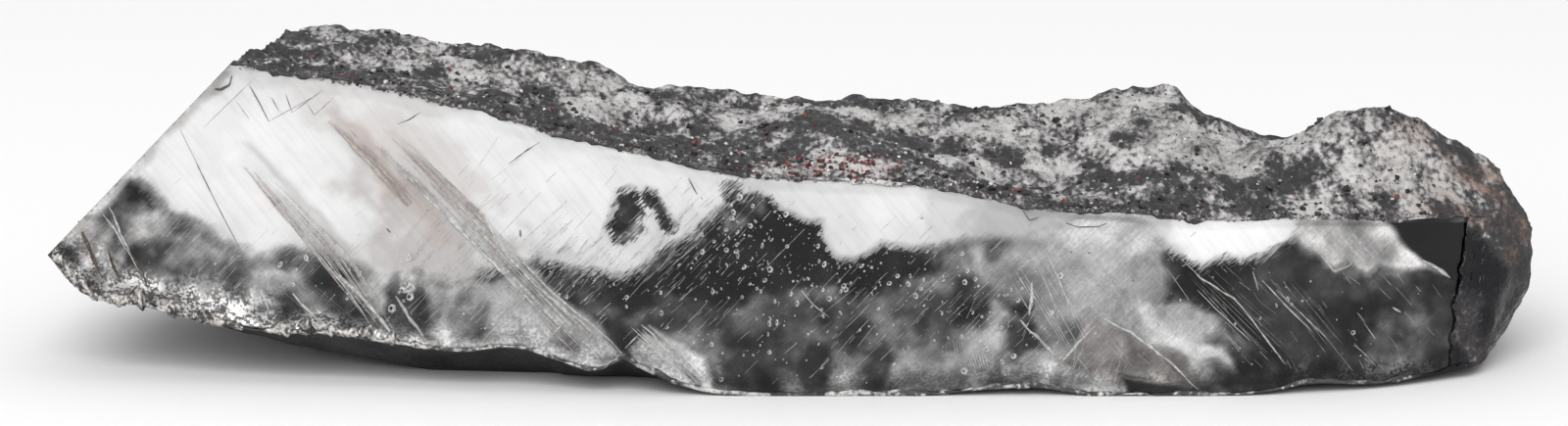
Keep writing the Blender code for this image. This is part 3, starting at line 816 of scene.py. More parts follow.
# what shows inside the crystal, as outlines (across, up) on the front face in millimetres.
# grey is how light it looks, soft and fur are the widths of its edge and of its frayed hairs
zones = [
    {"grey": 0.50, "warm": 0.15, "soft": 2.5, "fur": 1.0, "mottle": 0.20, "outline": [
        (-91, 18), (-80, 24), (-68, 17), (-56, 16), (-44, 14), (-36, 12), (-24, 7), (-23, 1),
        (-60, 4), (-92, 8)]},
    {"grey": 0.965, "warm": 0.0, "soft": 0.5, "fur": 1.4, "mottle": 0.02, "outline": [
        (-68, 43), (-76, 31), (-78.5, 27.5), (-76.8, 24.6), (-72.7, 22.3), (-69.5, 19.5),
        (-66.5, 17), (-62, 19), (-58, 19), (-55, 17), (-51.5, 15.2), (-48.5, 15), (-45, 16.5),
        (-40, 17), (-36, 17), (-34, 19.3), (-32.5, 18.8), (-28.3, 16.4), (-26, 15.6),
        (-22.5, 14.6), (-19.5, 14.9), (-15.2, 17.8), (-14, 20), (-9.5, 22), (-6.5, 25.5),
        (-3, 25), (3, 29), (-10, 34), (-40, 44), (-60, 50)]},
    {"grey": 0.79, "warm": 0.30, "soft": 2.8, "fur": 0.6, "mottle": 0.06, "outline": [
        (-50, 28), (-44, 24), (-38, 20), (-33, 16), (-28, 12), (-30, 8), (-40, 8), (-47, 12),
        (-50, 18)]},
    {"grey": 0.80, "warm": 0.75, "soft": 0.9, "fur": 0.4, "mottle": 0.05, "outline": [
        (-61.5, 36), (-58.5, 36), (-52, 28), (-46, 19), (-42, 13), (-46, 13), (-50, 19), (-56, 28)]},
    {"grey": 0.84, "warm": 0.5, "soft": 0.8, "fur": 0.4, "mottle": 0.05, "outline": [
        (-55, 34), (-51.5, 33.5), (-42, 25), (-35, 18.5), (-31, 13), (-34, 13), (-41, 20),
        (-48, 28)]},
    {"grey": 0.80, "warm": 0.1, "soft": 0.5, "fur": 0.2, "mottle": 0.03, "outline": [
        (-71, 32.3), (-69.5, 32.5), (-57, 20.2), (-51, 13), (-48, 7), (-50, 6.5), (-58.5, 18.5)]},
    {"grey": 0.27, "warm": 0.0, "soft": 0.8, "fur": 1.3, "mottle": 0.10, "outline": [
        (-80.5, 27), (-78.5, 27.3), (-76.8, 24.4), (-72.5, 21.8), (-68, 16.8), (-66, 15.5),
        (-72, 17.2), (-78, 19.5), (-82, 21.5), (-84.5, 19), (-82, 24)]},
    {"grey": 0.62, "warm": 0.1, "soft": 1.4, "fur": 0.5, "mottle": 0.10, "outline": [
        (-79, 20), (-72, 19), (-68, 15.5), (-60, 13.8), (-66, 12.5), (-74, 14.5)]},
    {"grey": 0.33, "warm": 0.0, "soft": 1.5, "fur": 0.6, "mottle": 0.20, "outline": [
        (-80, 17.5), (-74, 15.5), (-66, 13), (-58, 12), (-50, 10), (-44, 8.4), (-44, 6.8),
        (-58, 8), (-72, 10.5), (-80, 13)]},
    {"grey": 0.60, "warm": 0.25, "soft": 0.9, "fur": 0.4, "mottle": 0.16, "outline": [
        (-91.5, 17), (-88, 20.5), (-84, 22), (-83, 12), (-88, 11.5)]},
    {"grey": 0.76, "warm": 0.12, "soft": 0.8, "fur": 0.4, "mottle": 0.05, "outline": [
        (-68, 42), (-89, 20.5), (-86, 20.5), (-66, 38.6)]},
    {"grey": 0.15, "warm": 0.0, "soft": 0.9, "fur": 1.4, "mottle": 0.06, "outline": [
        (-15, 18), (-11, 20), (-6.5, 25), (-4, 25.5), (-0.5, 22.5), (2, 21), (3, 19.5),
        (4, 17.5), (6, 16), (9, 15), (14, 14), (12, 11), (4, 10), (-4, 9), (-13, 9), (-22, 11),
        (-26, 14), (-22, 14.8), (-18, 15.2)]},
    {"grey": 0.20, "warm": 0.0, "soft": 0.3, "fur": 0.5, "mottle": 0.10, "outline": [
        (-22.9, 19.4), (-20.8, 24.2), (-19.0, 24.6), (-18.6, 22.6), (-17.2, 21.0), (-18.6, 19.0)]},
    {"grey": 0.24, "warm": 0.0, "soft": 0.25, "fur": 0.4, "mottle": 0.10, "outline": [
        (-18.2, 23.9), (-16.9, 24.8), (-14.6, 21.2), (-15.6, 20.4), (-17.0, 22.6)]},
    {"grey": 0.34, "warm": 0.0, "soft": 0.6, "fur": 1.0, "mottle": 0.30, "outline": [
        (-9.5, 25), (-6.5, 26.5), (-5, 24), (-8, 19.5), (-10.5, 21.5)]},
    {"grey": 0.38, "warm": 0.0, "soft": 2.0, "fur": 0.5, "mottle": 0.16, "outline": [
        (4, 15), (20, 18), (28, 17), (28, 6), (10, 3), (0, 2), (-12, 3), (-14, 7), (0, 9)]},
    {"grey": 0.19, "warm": 0.0, "soft": 1.4, "fur": 0.4, "mottle": 0.10, "outline": [
        (-12, 6), (0, 4.5), (4, 3), (-2, 0.5), (-12, 0.8)]},
    {"grey": 0.22, "warm": 0.0, "soft": 1.1, "fur": 0.4, "mottle": 0.10, "outline": [
        (8, 5.5), (14, 5), (13, 1.5), (8, 1.8)]},
    {"grey": 0.72, "warm": 0.05, "soft": 1.8, "fur": 0.6, "mottle": 0.06, "outline": [
        (22, 20.5), (30, 24.5), (44, 23), (46, 18), (48, 14), (45, 9), (36, 6), (30, 6), (25, 12)]},
    {"grey": 0.97, "warm": 0.0, "soft": 0.35, "fur": 0.8, "mottle": 0.01, "outline": [
        (-2.7, 25.3), (-0.4, 22.3), (2.1, 20.8), (2.9, 19.8), (3.9, 17.8), (5.7, 16.6),
        (7.8, 17.2), (10, 18.6), (12.3, 18.4), (16.6, 18.4), (18.4, 19), (22, 19), (25.7, 20.8),
        (28.7, 22.5), (30, 27), (18, 30), (10, 31), (-4, 31)]},
    {"grey": 0.22, "warm": 0.0, "soft": 1.0, "fur": 0.8, "mottle": 0.11, "outline": [
        (47, 16.3), (50.5, 15.8), (54, 16.6), (58, 18.3), (60.5, 20.5), (62, 19), (66, 17.5),
        (76, 17), (88, 20), (92, 10), (84, 1), (70, 0), (55, 0), (50, 3), (53, 7), (49.5, 12)]},
    {"grey": 0.62, "warm": 0.0, "soft": 1.6, "fur": 0.4, "mottle": 0.10, "outline": [
        (44, 13), (48, 13), (53, 9), (54, 5.5), (50, 4.5), (45, 8)]},
    {"grey": 0.965, "warm": 0.0, "soft": 0.6, "fur": 0.7, "mottle": 0.01, "outline": [
        (42.5, 24), (42, 19.5), (46, 17.8), (50, 16.6), (53, 17), (56, 18), (58.5, 18.8),
        (61, 21.3), (64, 24), (60, 27), (42, 27)]},
    {"grey": 0.70, "warm": 0.2, "soft": 0.5, "fur": 0.5, "mottle": 0.12, "outline": [
        (61.5, 24), (63, 19.5), (66, 17.2), (70, 16.5), (74, 16.2), (79.5, 14.5), (77, 17.5),
        (74, 20), (72.6, 24)]},
    {"grey": 0.11, "warm": 0.0, "soft": 0.2, "fur": 0.15, "mottle": 0.03, "outline": [
        (72.6, 21.2), (81.5, 21.4), (83.5, 17.5), (87, 15.5), (87, 12.5), (82, 10), (78.5, 14.8),
        (76, 16.6)]},
    {"grey": 0.46, "warm": 0.55, "soft": 0.3, "fur": 0.2, "mottle": 0.10, "outline": [
        (36.4, 9.4), (39, 8.3), (44, 5), (49.5, 0.4), (42, 1.2), (33, 3.5)]},
]
# the deep patches: how light, how warm, softness, how mottled, outline
deepPatches = [
    (0.66, 0.12, 2.2, 0.17, [(-93, 19), (-80, 27), (-60, 22), (-44, 18), (-33, 15), (-27, 9),
                             (-22, 5), (-21, 0), (-60, 3), (-93, 8)]),
    (0.68, 0.20, 0.9, 0.15, [(-93, 17), (-88, 21.5), (-84.6, 24), (-83.6, 14), (-88, 11)]),
    (0.80, 0.06, 1.6, 0.08, [(-58, 14), (-52, 15), (-40, 14), (-34, 14), (-27, 8), (-22, 4),
                             (-23, 1), (-30, 3), (-38, 6), (-50, 7), (-56, 10)]),
    (0.34, 0.10, 0.5, 0.15, [(-88.9, 18), (-86.8, 17.4), (-86, 15.4), (-87.4, 15.6),
                             (-88.6, 16.8)]),
    (0.38, 0.0, 1.1, 0.24, [(-80.5, 26), (-78.6, 25.4), (-76.9, 23.5), (-78.2, 21.9),
                            (-80.2, 21.2), (-81.7, 19.9), (-83.8, 18.7), (-84.6, 19.9),
                            (-83.2, 22.3), (-81.6, 24.2)]),
    (0.27, 0.0, 0.6, 0.10, [(-79.4, 25.6), (-77.4, 24.4), (-76.2, 22.6), (-77.6, 22.2),
                            (-79.2, 23.8)]),
    (0.30, 0.0, 0.5, 0.10, [(-82.6, 21.8), (-81.4, 21.4), (-80.8, 19.6), (-82.2, 19.2)]),
    (0.31, 0.0, 1.0, 0.12, [(-77.4, 23.6), (-74.8, 22.4), (-72, 21), (-69.3, 18.9),
                            (-67.2, 17.2), (-70, 17.2), (-73.5, 19), (-76.8, 20.4)]),
    (0.62, 0.10, 1.0, 0.08, [(-79.6, 20.6), (-76, 19.6), (-72.6, 17.6), (-68.6, 16.4),
                             (-62, 14.8), (-68, 14.4), (-73.5, 15.4), (-77.2, 18.2)]),
    (0.31, 0.0, 1.0, 0.12, [(-80.5, 17.6), (-77.8, 18.3), (-75.4, 17), (-76.6, 15.2),
                            (-78.4, 14.4), (-80.4, 15.6)]),
    (0.40, 0.0, 1.1, 0.15, [(-75, 14.5), (-70.5, 14.6), (-65.1, 14.3), (-64, 12.6),
                            (-68.7, 12), (-73.8, 12.6)]),
    (0.38, 0.0, 0.9, 0.15, [(-66.6, 16.4), (-62.7, 16.7), (-60.2, 15.8), (-61.4, 14.3),
                            (-65.1, 14.3)]),
    (0.40, 0.0, 1.3, 0.15, [(-59.6, 16.8), (-56.9, 17.2), (-54.3, 14.4), (-52.2, 10.6),
                            (-55.4, 9.1), (-58, 12.4)]),
    (0.30, 0.0, 1.0, 0.12, [(-65.2, 12.6), (-62, 11.2), (-59.4, 8.6), (-62.7, 8.8)]),
    (0.38, 0.0, 1.2, 0.16, [(-50.2, 13.4), (-45.6, 13), (-43.6, 10.4), (-44.3, 6.6),
                            (-48.7, 7)]),
    (0.40, 0.0, 1.2, 0.16, [(-43, 12.6), (-39.9, 13.4), (-37.4, 11.4), (-37.8, 6.8),
                            (-41.9, 6.2)]),
    (0.75, 0.05, 1.4, 0.08, [(-37, 11.8), (-33, 13.4), (-29, 10), (-27, 6), (-32, 5.4),
                             (-36.6, 6.4)]),
    (0.56, 0.0, 0.8, 0.14, [(-30.6, 6), (-27.8, 7.6), (-25.4, 6.4), (-27, 3.9)]),
    (0.68, 0.0, 0.9, 0.10, [(-36, 4.6), (-28, 6), (-24, 4.6), (-22, 3.4), (-23, 2), (-30, 2.4)]),
    (0.33, 0.03, 0.7, 0.18, [(-27.8, 12.6), (-26.4, 15), (-23.8, 15), (-21.2, 14.2),
                             (-20.6, 12.1), (-24.6, 10.4)]),
    (0.36, 0.0, 2.0, 0.16, [(-22, 8), (-14, 12), (8, 14), (24, 18), (30, 16), (28, 4), (10, 0),
                            (-12, 0), (-20, 4)]),
    (0.52, 0.0, 1.6, 0.10, [(-3, 8), (-1, 10.6), (3, 10.4), (5.6, 8.4), (3, 6.6)]),
    (0.50, 0.0, 1.8, 0.10, [(7.8, 8), (11, 10.8), (16, 10.4), (17, 7.4), (10, 6.6)]),
    (0.47, 0.0, 1.0, 0.10, [(-3.6, 0.6), (-3, 5), (-1, 5.6), (0, 3), (-0.2, 0.4)]),
    (0.62, 0.0, 0.9, 0.10, [(3.4, 0.5), (4.6, 2.8), (7, 2.6), (8, 0.5)]),
    (0.64, 0.0, 1.3, 0.12, [(10.6, 1), (12, 5.4), (16, 5.8), (19, 4.2), (18.6, 1)]),
    (0.76, 0.0, 1.3, 0.08, [(19.2, 4), (20, 9), (24, 9.8), (26.4, 7), (25, 2.8), (21, 2.2)]),
    (0.18, 0.0, 1.1, 0.08, [(-10.6, 0.6), (-9.6, 5.6), (-5, 6.2), (-3.8, 2), (-4, 0.5)]),
    (0.20, 0.0, 0.8, 0.08, [(-0.2, 0.4), (0.2, 5.6), (3, 6), (3.6, 2.8), (3.4, 0.4)]),
    (0.19, 0.0, 1.0, 0.10, [(7, 1.2), (7.6, 5.8), (10.6, 6.8), (11.2, 3), (10, 1)]),
    (0.27, 0.0, 1.0, 0.12, [(13.6, 9.2), (15, 11.8), (19, 12.4), (19.6, 10), (16, 8.8)]),
    (0.10, 0.0, 0.9, 0.05, [(-10.5, 18.4), (-7.4, 22), (-4.8, 24.2), (-3.1, 24.4), (-1, 22.5),
                            (1, 21.4), (3, 21.2), (3.1, 19), (4.1, 17.2), (6, 16), (8, 16.4),
                            (9.5, 17.4), (11, 18), (14, 17.6), (16.5, 17.2), (13.4, 14.4),
                            (9, 13.5), (5, 13.4), (1, 12.6), (-4, 12), (-10, 11.2), (-16, 11.6),
                            (-21.6, 10.4), (-21, 12.4), (-20, 14), (-17, 16), (-14.5, 17.6)]),
    (0.50, 0.0, 0.9, 0.26, [(-14.4, 19.5), (-12.4, 23), (-9.4, 25.4), (-6.6, 25.6), (-5.4, 23.6),
                            (-8, 21.6), (-9, 19.4), (-11.6, 18)]),
    (0.18, 0.0, 0.6, 0.08, [(-25.5, 9.8), (-20.9, 9.8), (-19.2, 7.4), (-20.9, 5.4)]),
    (0.80, 0.0, 0.4, 0.10, [(-20.3, 5.8), (-18.9, 8.3), (-12, 0.9), (-14, 0.9), (-17.4, 2)]),
    (0.80, 0.0, 0.5, 0.10, [(-18.4, 8.8), (-15.4, 7.2), (-11.1, 4.3), (-9.6, 0.4),
                            (-11.1, 0.4)]),
    (0.74, 0.05, 0.4, 0.06, [(-37.8, 21.6), (-33.6, 17.2), (-29.8, 13), (-26, 9.8),
                             (-20.8, 4.4), (-24, 4.4), (-28.4, 9.2), (-32.2, 13.6),
                             (-35.4, 17.6)]),
    (0.70, 0.02, 1.8, 0.05, [(24.7, 19.6), (26.5, 22), (28, 25), (42, 25), (44.4, 20), (46, 17),
                             (46, 14.5), (46, 12), (44, 9), (38, 7), (36, 8.5), (33, 5),
                             (30, 6), (28, 9), (25, 10), (22, 12), (20, 14), (21, 17)]),
    (0.84, 0.0, 1.8, 0.03, [(26, 19.4), (28, 25), (48, 25), (48, 19), (44, 17), (37, 17.4),
                            (31, 17)]),
    (0.60, 0.0, 1.2, 0.06, [(22.6, 16.8), (27.6, 17.8), (31, 16), (29, 13.6), (25, 12.6)]),
    (0.62, 0.0, 1.0, 0.08, [(36.4, 14.8), (41.6, 16.4), (46, 14.8), (45, 12), (39, 12.4)]),
    (0.72, 0.02, 1.4, 0.08, [(28, 6), (36, 7), (44, 8), (50, 7), (53, 4), (50, 1.6), (40, 0.4),
                             (30, 0.6), (26, 2)]),
    (0.44, 0.0, 0.9, 0.15, [(25.2, 5), (26, 8), (29.4, 8.6), (30, 5.2), (27, 4.4)]),
    (0.42, 0.0, 0.5, 0.18, [(26, 0.8), (27, 2.6), (32, 2.8), (33, 0.8)]),
    (0.21, 0.0, 1.0, 0.10, [(44.5, 13.2), (46, 15.4), (47, 16.2), (49.2, 15.3), (50.4, 16),
                            (55.6, 16.6), (58.3, 17.8), (59.9, 19), (62, 17.4), (64, 15),
                            (66, 14), (70, 15), (74, 15), (78, 13.8), (84, 10), (92, 10),
                            (92, -1), (60, -1), (48.6, 0), (52, 3), (55, 6), (52, 9),
                            (48, 10.5), (43, 10.5)]),
    (0.70, 0.0, 1.4, 0.08, [(41, 9), (42, 13.6), (46.8, 13.4), (50, 10.6), (51, 7.4), (46, 7)]),
    (0.85, 0.02, 0.7, 0.06, [(41.6, 11.2), (45.1, 8.8), (49.2, 6.6), (52.9, 4.9), (53.3, 3.6),
                             (50.8, 3.3), (47.6, 2.8), (44.9, 5.5), (42, 7.6)]),
    (0.66, 0.45, 0.25, 0.10, [(36.2, 9.6), (40.5, 7.5), (44.8, 4.3), (48.6, 0.6), (40, 0.8),
                              (32.2, 3.8)]),
    (0.47, 0.60, 0.9, 0.08, [(38.6, 8.2), (40.5, 7.4), (44.8, 4.2), (48.6, 0.5), (45.6, 0.5),
                             (42, 4)]),
    (0.22, 0.0, 0.35, 0.10, [(39.4, 1.9), (44, 1.5), (48.4, 1.2), (48, -0.5), (40, -0.2)]),
    (0.11, 0.0, 0.25, 0.05, [(46.7, 16.6), (49.2, 14.2), (53.1, 11.8), (56.9, 7.2),
                             (59.4, 3.9), (55.3, 6.6), (51.9, 9.6), (48.1, 13)]),
    (0.40, 0.02, 1.5, 0.15, [(68, 8.6), (73, 9), (78, 8.6), (83, 8.8), (83, 4.4), (76, 3.4),
                             (69, 4.2)]),
    (0.82, 0.14, 0.6, 0.13, [(57.8, 24), (58.6, 19.6), (60, 18.6), (61.9, 17.4), (63.4, 16),
                             (65.3, 14.8), (66.8, 15.9), (68.7, 14.5), (70.5, 15.6),
                             (73.2, 15), (75.9, 15.2), (78.2, 14.4), (75.9, 16.3),
                             (73.7, 18.1), (71.9, 20.6), (70, 24)]),
    (0.07, 0.0, 0.15, 0.02, [(71.9, 20.8), (80.7, 21), (81.8, 20.4), (83.4, 20.3),
                             (85.9, 18.4), (88, 15.6), (90, 12), (84, 9.6), (80, 13.3),
                             (77.9, 15), (75.9, 16.3), (73.7, 18.1)]),
    (0.80, 0.12, 0.7, 0.10, [(-64, 46), (-92, 20.6), (-88.2, 18.9), (-83.5, 22.3),
                             (-79.1, 26.6), (-73.2, 32.6), (-66, 40)]),
    (0.97, 0.0, 0.3, 0.02, [(-48.3, 17), (-46.9, 17.2), (-46.2, 14.6), (-46.8, 12.5), (-48, 13.2)]),
    (0.93, 0.0, 0.3, 0.02, [(-45.4, 16.4), (-44.4, 16.2), (-44.2, 14.8), (-45.2, 14.7)]),
]
# dark windows in the white: how light, softness, how far they fray, how mottled, outline
windows = [
    (0.24, 0.22, 0.8, 0.10, [(-21.4, 24.5), (-20.6, 24.9), (-19.6, 25), (-18.8, 23.7),
                             (-18.4, 22.4), (-18.8, 21.2), (-18.4, 20.3), (-19.8, 19),
                             (-22, 18.8), (-22.8, 20.4), (-22.4, 22.2)]),
    (0.27, 0.2, 0.6, 0.10, [(-18.8, 23.4), (-18.2, 24.8), (-17.2, 24.6), (-16.1, 23),
                            (-14.8, 20.4), (-15.2, 19.9), (-16, 20), (-17.2, 22), (-18.1, 23)]),
    (0.52, 0.3, 0.8, 0.22, [(-20.2, 21.2), (-18.9, 22.3), (-18.4, 20.5), (-19.7, 19.2),
                            (-21.9, 19.1), (-21.2, 20.4)]),
    (0.40, 0.5, 1.2, 0.25, [(-8.6, 25.2), (-7.6, 25.9), (-6.6, 24.6), (-6.6, 23), (-8.6, 23)]),
]
# the white bodies, a painted reflection of the white surroundings off the inner cleavage: how far their
# edge frays, its softness, outline
reflectionBodies = [
    (0.9, 0.5, [(-64, 46), (-76, 34), (-79.4, 29), (-78.6, 25.8), (-76.9, 23.7),
                (-74.9, 22), (-72.3, 20.8), (-69.9, 19), (-67.5, 17.3), (-65.4, 17),
                (-63, 17.3), (-60.2, 16.7), (-57, 17.5), (-53, 16), (-49.3, 13.9), (-46, 14.6),
                (-42, 13.6), (-38.7, 14.1), (-35.3, 15.6), (-31.2, 16.1), (-27.5, 15.6),
                (-25.5, 15.3), (-22.6, 14.3), (-20.9, 14.4), (-18.9, 15.3), (-17.1, 16.7),
                (-15.4, 18.2), (-14.4, 18.6), (-12.4, 19.4), (-10.6, 21.4), (-9.2, 23),
                (-7.2, 24.2), (-5, 24.6), (-3.1, 24.1), (0, 32), (-40, 46), (-60, 50)]),
    (0.45, 0.22, [(-6, 26), (-3.8, 24.6), (-1.9, 22.5), (-0.1, 21.7), (0.8, 21), (2.9, 21),
                  (3.1, 19), (4.1, 17.3), (5.4, 16.4), (7.2, 16.3), (9, 17.2), (10.5, 18.5),
                  (11.7, 18.2), (13.8, 17.8), (15.6, 17.9), (17.2, 18.2), (18.4, 18.7),
                  (20.5, 18.7), (22.9, 18.8), (26, 19.2), (30, 20), (33, 21.6), (33, 30),
                  (24, 32), (-8, 34)]),
    (0.7, 0.5, [(42.5, 26), (42.6, 21), (44, 19.1), (46.3, 17), (47.9, 15.9), (49.2, 15.5),
                (50.4, 16.1), (51.9, 16.6), (53.8, 16.4), (55.6, 16.7), (57.2, 17.3),
                (58.3, 17.9), (59.7, 19.1), (60.5, 20.2), (61.5, 26)]),
]
# veils over the white of the painted reflection: how light, how warm, softness, how mottled, outline
veils = [
    (0.79, 0.12, 0.7, 0.25, [(-64, 46), (-84, 27), (-79.1, 26.6), (-73.2, 32.6), (-66, 40)]),
    (0.99, 0.0, 0.2, 0.0, [(-48.4, 17.4), (-47.4, 17.2), (-46.6, 14.6), (-47.2, 13.2), (-48.2, 14)]),
    (0.99, 0.0, 0.2, 0.0, [(-49.4, 20.6), (-48.6, 20.6), (-48.2, 18.6), (-48.9, 18.4)]),
    (0.99, 0.0, 0.2, 0.0, [(-45.6, 16.2), (-44.9, 16.6), (-44.2, 15.6), (-45, 15)]),
    (0.87, 0.25, 2.6, 0.05, [(-53, 29), (-46, 27), (-40, 22), (-35, 17), (-31, 13), (-36, 11),
                             (-48, 11), (-50, 18)]),
    (0.93, 0.20, 1.6, 0.03, [(-60, 36.6), (-44, 34), (-36, 22), (-44, 22)]),
    (0.87, 0.70, 0.9, 0.05, [(-56.4, 34.4), (-55, 34.4), (-49.6, 28.6), (-44.8, 23.6), (-42, 18),
                             (-44, 18), (-48.4, 23.4)]),
    (0.90, 0.55, 0.6, 0.05, [(-49.8, 32.8), (-49, 32.8), (-42.4, 27), (-37.2, 20), (-32.4, 14.4),
                             (-33.6, 14.2), (-38.4, 19.8), (-43, 25.4)]),
    (0.86, 0.05, 0.4, 0.03, [(-66.4, 30.2), (-65.6, 30), (-60.4, 24.6), (-54.2, 18.2),
                             (-51.4, 14.6), (-52.6, 14.6), (-57.4, 20)]),
    (0.90, 0.10, 0.5, 0.03, [(-62, 25), (-61, 24.8), (-52, 13.4), (-53.4, 13.4)]),
    (0.93, 0.08, 0.9, 0.02, [(-69, 41), (-40, 36), (-38, 33.6), (-52, 36), (-67, 38.6)]),
    (0.88, 0.03, 1.2, 0.02, [(-33.4, 19.6), (-28.6, 17.6), (-27.4, 15.6), (-31.4, 15.6)]),
    (0.92, 0.0, 2.2, 0.03, [(16, 20), (17, 30), (40, 30), (40, 16), (20, 16)]),
    (0.83, 0.0, 2.4, 0.03, [(23, 22), (24, 30), (40, 30), (40, 16), (24, 16)]),
    (0.93, 0.0, 1.5, 0.03, [(42, 22), (47, 22), (47, 16), (42, 16)]),
    (1.05, 0.0, 1.5, 0.0, [(46, 24), (62, 24), (62, 16), (46, 15)]),
]
# the white, its gain and its depth belong to the painted reflection of the white surroundings
wall = {
    "reflectionDepth": 0.7, "nearDepth": 1.2, "farDepth": 3.6, "depthSoft": 1.3, "leftDepth": 0.05,
    "topInset": 0.32, "along": 520, "up": 120, "endRings": 46, "rightEnd": 0.9925,
    "edgeDepth": 0.2, "edgeFade": 2.4, "leftFade": 3.2, "rightFade": (0.88, 0.98),
    "rightSmoke": (14.0, 22.0), "rightSoft": 1.6, "windowWave": 0.9, "windowBend": 0.4,
    "white": 0.975, "baseGrey": 0.36, "baseMottle": 0.16, "warmTint": (0.90, 0.78, 0.74),
    "gamma": 2.2, "cloudGain": 1.5, "reflectionGain": 0.82, "sugarHigh": 4.2,
    "smokyFrom": (-36.0, -52.0), "smokySoft": 1.0, "smokyFur": 0.6,
}


# patches laid over each other: each one's outline is bent by noise and fades over its softness
def layPatches(patches, across, up, grey, warm, cloud):
    fields = [1.4 * fractal(across, up, 0 * up, 4.2, 101 + 9 * k, 4) for k in range(5)]
    for k, (light, warmth, soft, mottle, outline) in enumerate(patches):
        bend, lift = soft * fields[k % 5], soft * fields[(k + 2) % 5]
        inside = smoothStep(-soft, soft, insideBy(outline, across + bend, up + lift))
        grey = grey * (1 - inside) + (light + mottle * cloud) * inside
        warm = warm * (1 - inside) + warmth * inside
    return grey, warm


# what the front shows at each place: the deep patches, the white of the painted reflection with its
# veils, and the edge between them as a signed distance, with how wide it frays and how soft it is
def zoneLook(across, up):
    cloud = wall["cloudGain"] * fractal(across, up, 0 * up, 3.4, 95, 5)
    base = wall["baseGrey"] + wall["baseMottle"] * cloud
    windowPatches = [(grey, 0.0, soft, mottle, outline)
                     for grey, soft, fur, mottle, outline in windows]
    grey, warm = layPatches(deepPatches, across, up, base, 0 * up, cloud)
    crumbs = fractal(across, up, 0 * up, wall["windowWave"], 93, 3)
    grey, warm = layPatches(windowPatches, across, up, grey, warm, crumbs)
    reflectionGrey, reflectionWarm = layPatches(veils, across, up, wall["white"] + 0.012 * cloud, 0 * up,
                                      0.2 * cloud)
    smoky = smoothStep(*wall["smokyFrom"], across)
    fading = smoothStep(*wall["rightSmoke"], across) * (across < 38)
    distance = np.full(up.shape, -4.0)
    fur, soft = np.full(up.shape, 0.5), np.full(up.shape, 0.5)
    bend = 0.5 * fractal(across, up, 0 * up, 1.6, 97, 3)
    broad = fractal(across, up, 0 * up, 3.6, 99, 4)
    for furHere, softHere, outline in reflectionBodies:
        inside = insideBy(outline, across, up) + 0.5 * furHere * bend + 0.8 * smoky * broad
        inside = inside + 0.5 * fading * broad + 0.12 * crumbs
        nearer = inside > distance
        distance = np.maximum(distance, inside)
        furHere = furHere * (1 - wall["smokyFur"] * smoky)
        softHere = softHere + wall["smokySoft"] * smoky + wall["rightSoft"] * fading
        fur, soft = np.where(nearer, furHere, fur), np.where(nearer, softHere, soft)
    for light, softHere, furHere, mottle, outline in windows:
        outside = -insideBy(outline, across, up) + 0.4 * furHere * bend
        outside = outside + wall["windowBend"] * crumbs
        nearer = outside < distance
        distance = np.minimum(distance, outside)
        fur, soft = np.where(nearer, furHere, fur), np.where(nearer, softHere, soft)
    edge = np.stack([np.clip(distance, -4, 4), fur, soft], -1)
    return np.clip(grey, 0.02, 0.98), warm, np.clip(reflectionGrey, 0.02, 1.07), reflectionWarm, edge


# a display grey made a reflectance, with its warm tint
def wallPaint(grey, warm):
    light = grey[..., None] ** wall["gamma"]
    return light * (1 - warm[..., None] * (1 - np.array(wall["warmTint"])))


# how far in the wall stands: just under the surface where the painted reflection is white, deeper where
# it is dark
def wallDepth(across, up):
    grey, _, _, _, edge = zoneLook(across, up)
    white = smoothStep(-wall["depthSoft"], wall["depthSoft"], edge[..., 0] + 0.5)
    deep = wall["nearDepth"] + (wall["farDepth"] - wall["nearDepth"]) * (1 - grey) ** 0.7
    return deep * (1 - white) + wall["reflectionDepth"] * white


# the heart: a block under the clear layer, whose front stands a few millimetres in and carries the deep
# colours and the painted reflection of the white surroundings
def makeHeart():
    startU = wall["leftDepth"] / 175.0
    u = startU + (wall["rightEnd"] - startU) * np.linspace(0, 1, wall["along"])[:, None]
    path = walkPath([(0, 1), (1, 1), (1, 0), (0, 0)], (10, 6, 10, wall["up"]))
    inset = wall["topInset"] / 22.0
    w = np.repeat((path[:, 0] * 0.96)[None], len(u), 0)
    v = np.repeat((inset + path[:, 1] * (1 - 2 * inset))[None], len(u), 0)
    v = v - clear["dip"] / 22.0 * smoothStep(0.0, 0.06, w) * (v > 0.5)
    uu, w, v = blockPoints(u, w, v, wall["endRings"])
    surface = slabPoint(uu, 0 * w, v)
    depth = wallDepth(*seenFrom(surface, 0.0))
    fromRim = 30.0 * np.minimum(v, 1 - v)
    forward = np.maximum(smoothStep(wall["edgeFade"], 0.8, fromRim),
                         smoothStep(wall["leftFade"], 0.6, 175.0 * uu))
    forward = np.maximum(forward, smoothStep(*wall["rightFade"], uu))
    depth = depth * (1 - forward) + wall["edgeDepth"] * forward
    sunk = surface + depth[..., None] * np.array([0, 1, 0])
    onFront = (w * crust["deep"] < depth)[..., None]
    place = keepBehindFront(np.where(onFront, sunk, slabPoint(uu, w, v)), wall["edgeDepth"])
    across, up = seenFrom(place, place[..., 1] - frontY(place[..., 0]))
    grey, warm, reflectionGrey, reflectionWarm, edge = zoneLook(across, up)
    fromFoot = 24.0 * v + 1.1 * fractal(across, up, 0 * up, 1.8, 89, 3)
    sugary = smoothStep(wall["sugarHigh"], 0.6, fromFoot)
    ends = smoothStep(-42, -62, across) + 0.75 * smoothStep(52, 64, across)
    grit = np.clip(sugary * (0.3 + ends), 0, 1)[..., None] * np.ones(3)
    points, faces = closeTube(place)
    # the pale layer is the painted reflection of the white surroundings
    layers = {"deep": wallPaint(grey, warm), "edge": edge, "grit": grit,
              "pale": wall["reflectionGain"] * wallPaint(reflectionGrey, reflectionWarm)}
    for layerName, values in layers.items():
        flat = values.reshape(-1, 3)
        layers[layerName] = np.vstack([flat, flat[:1], flat[-1:]])
    return points, faces, layers


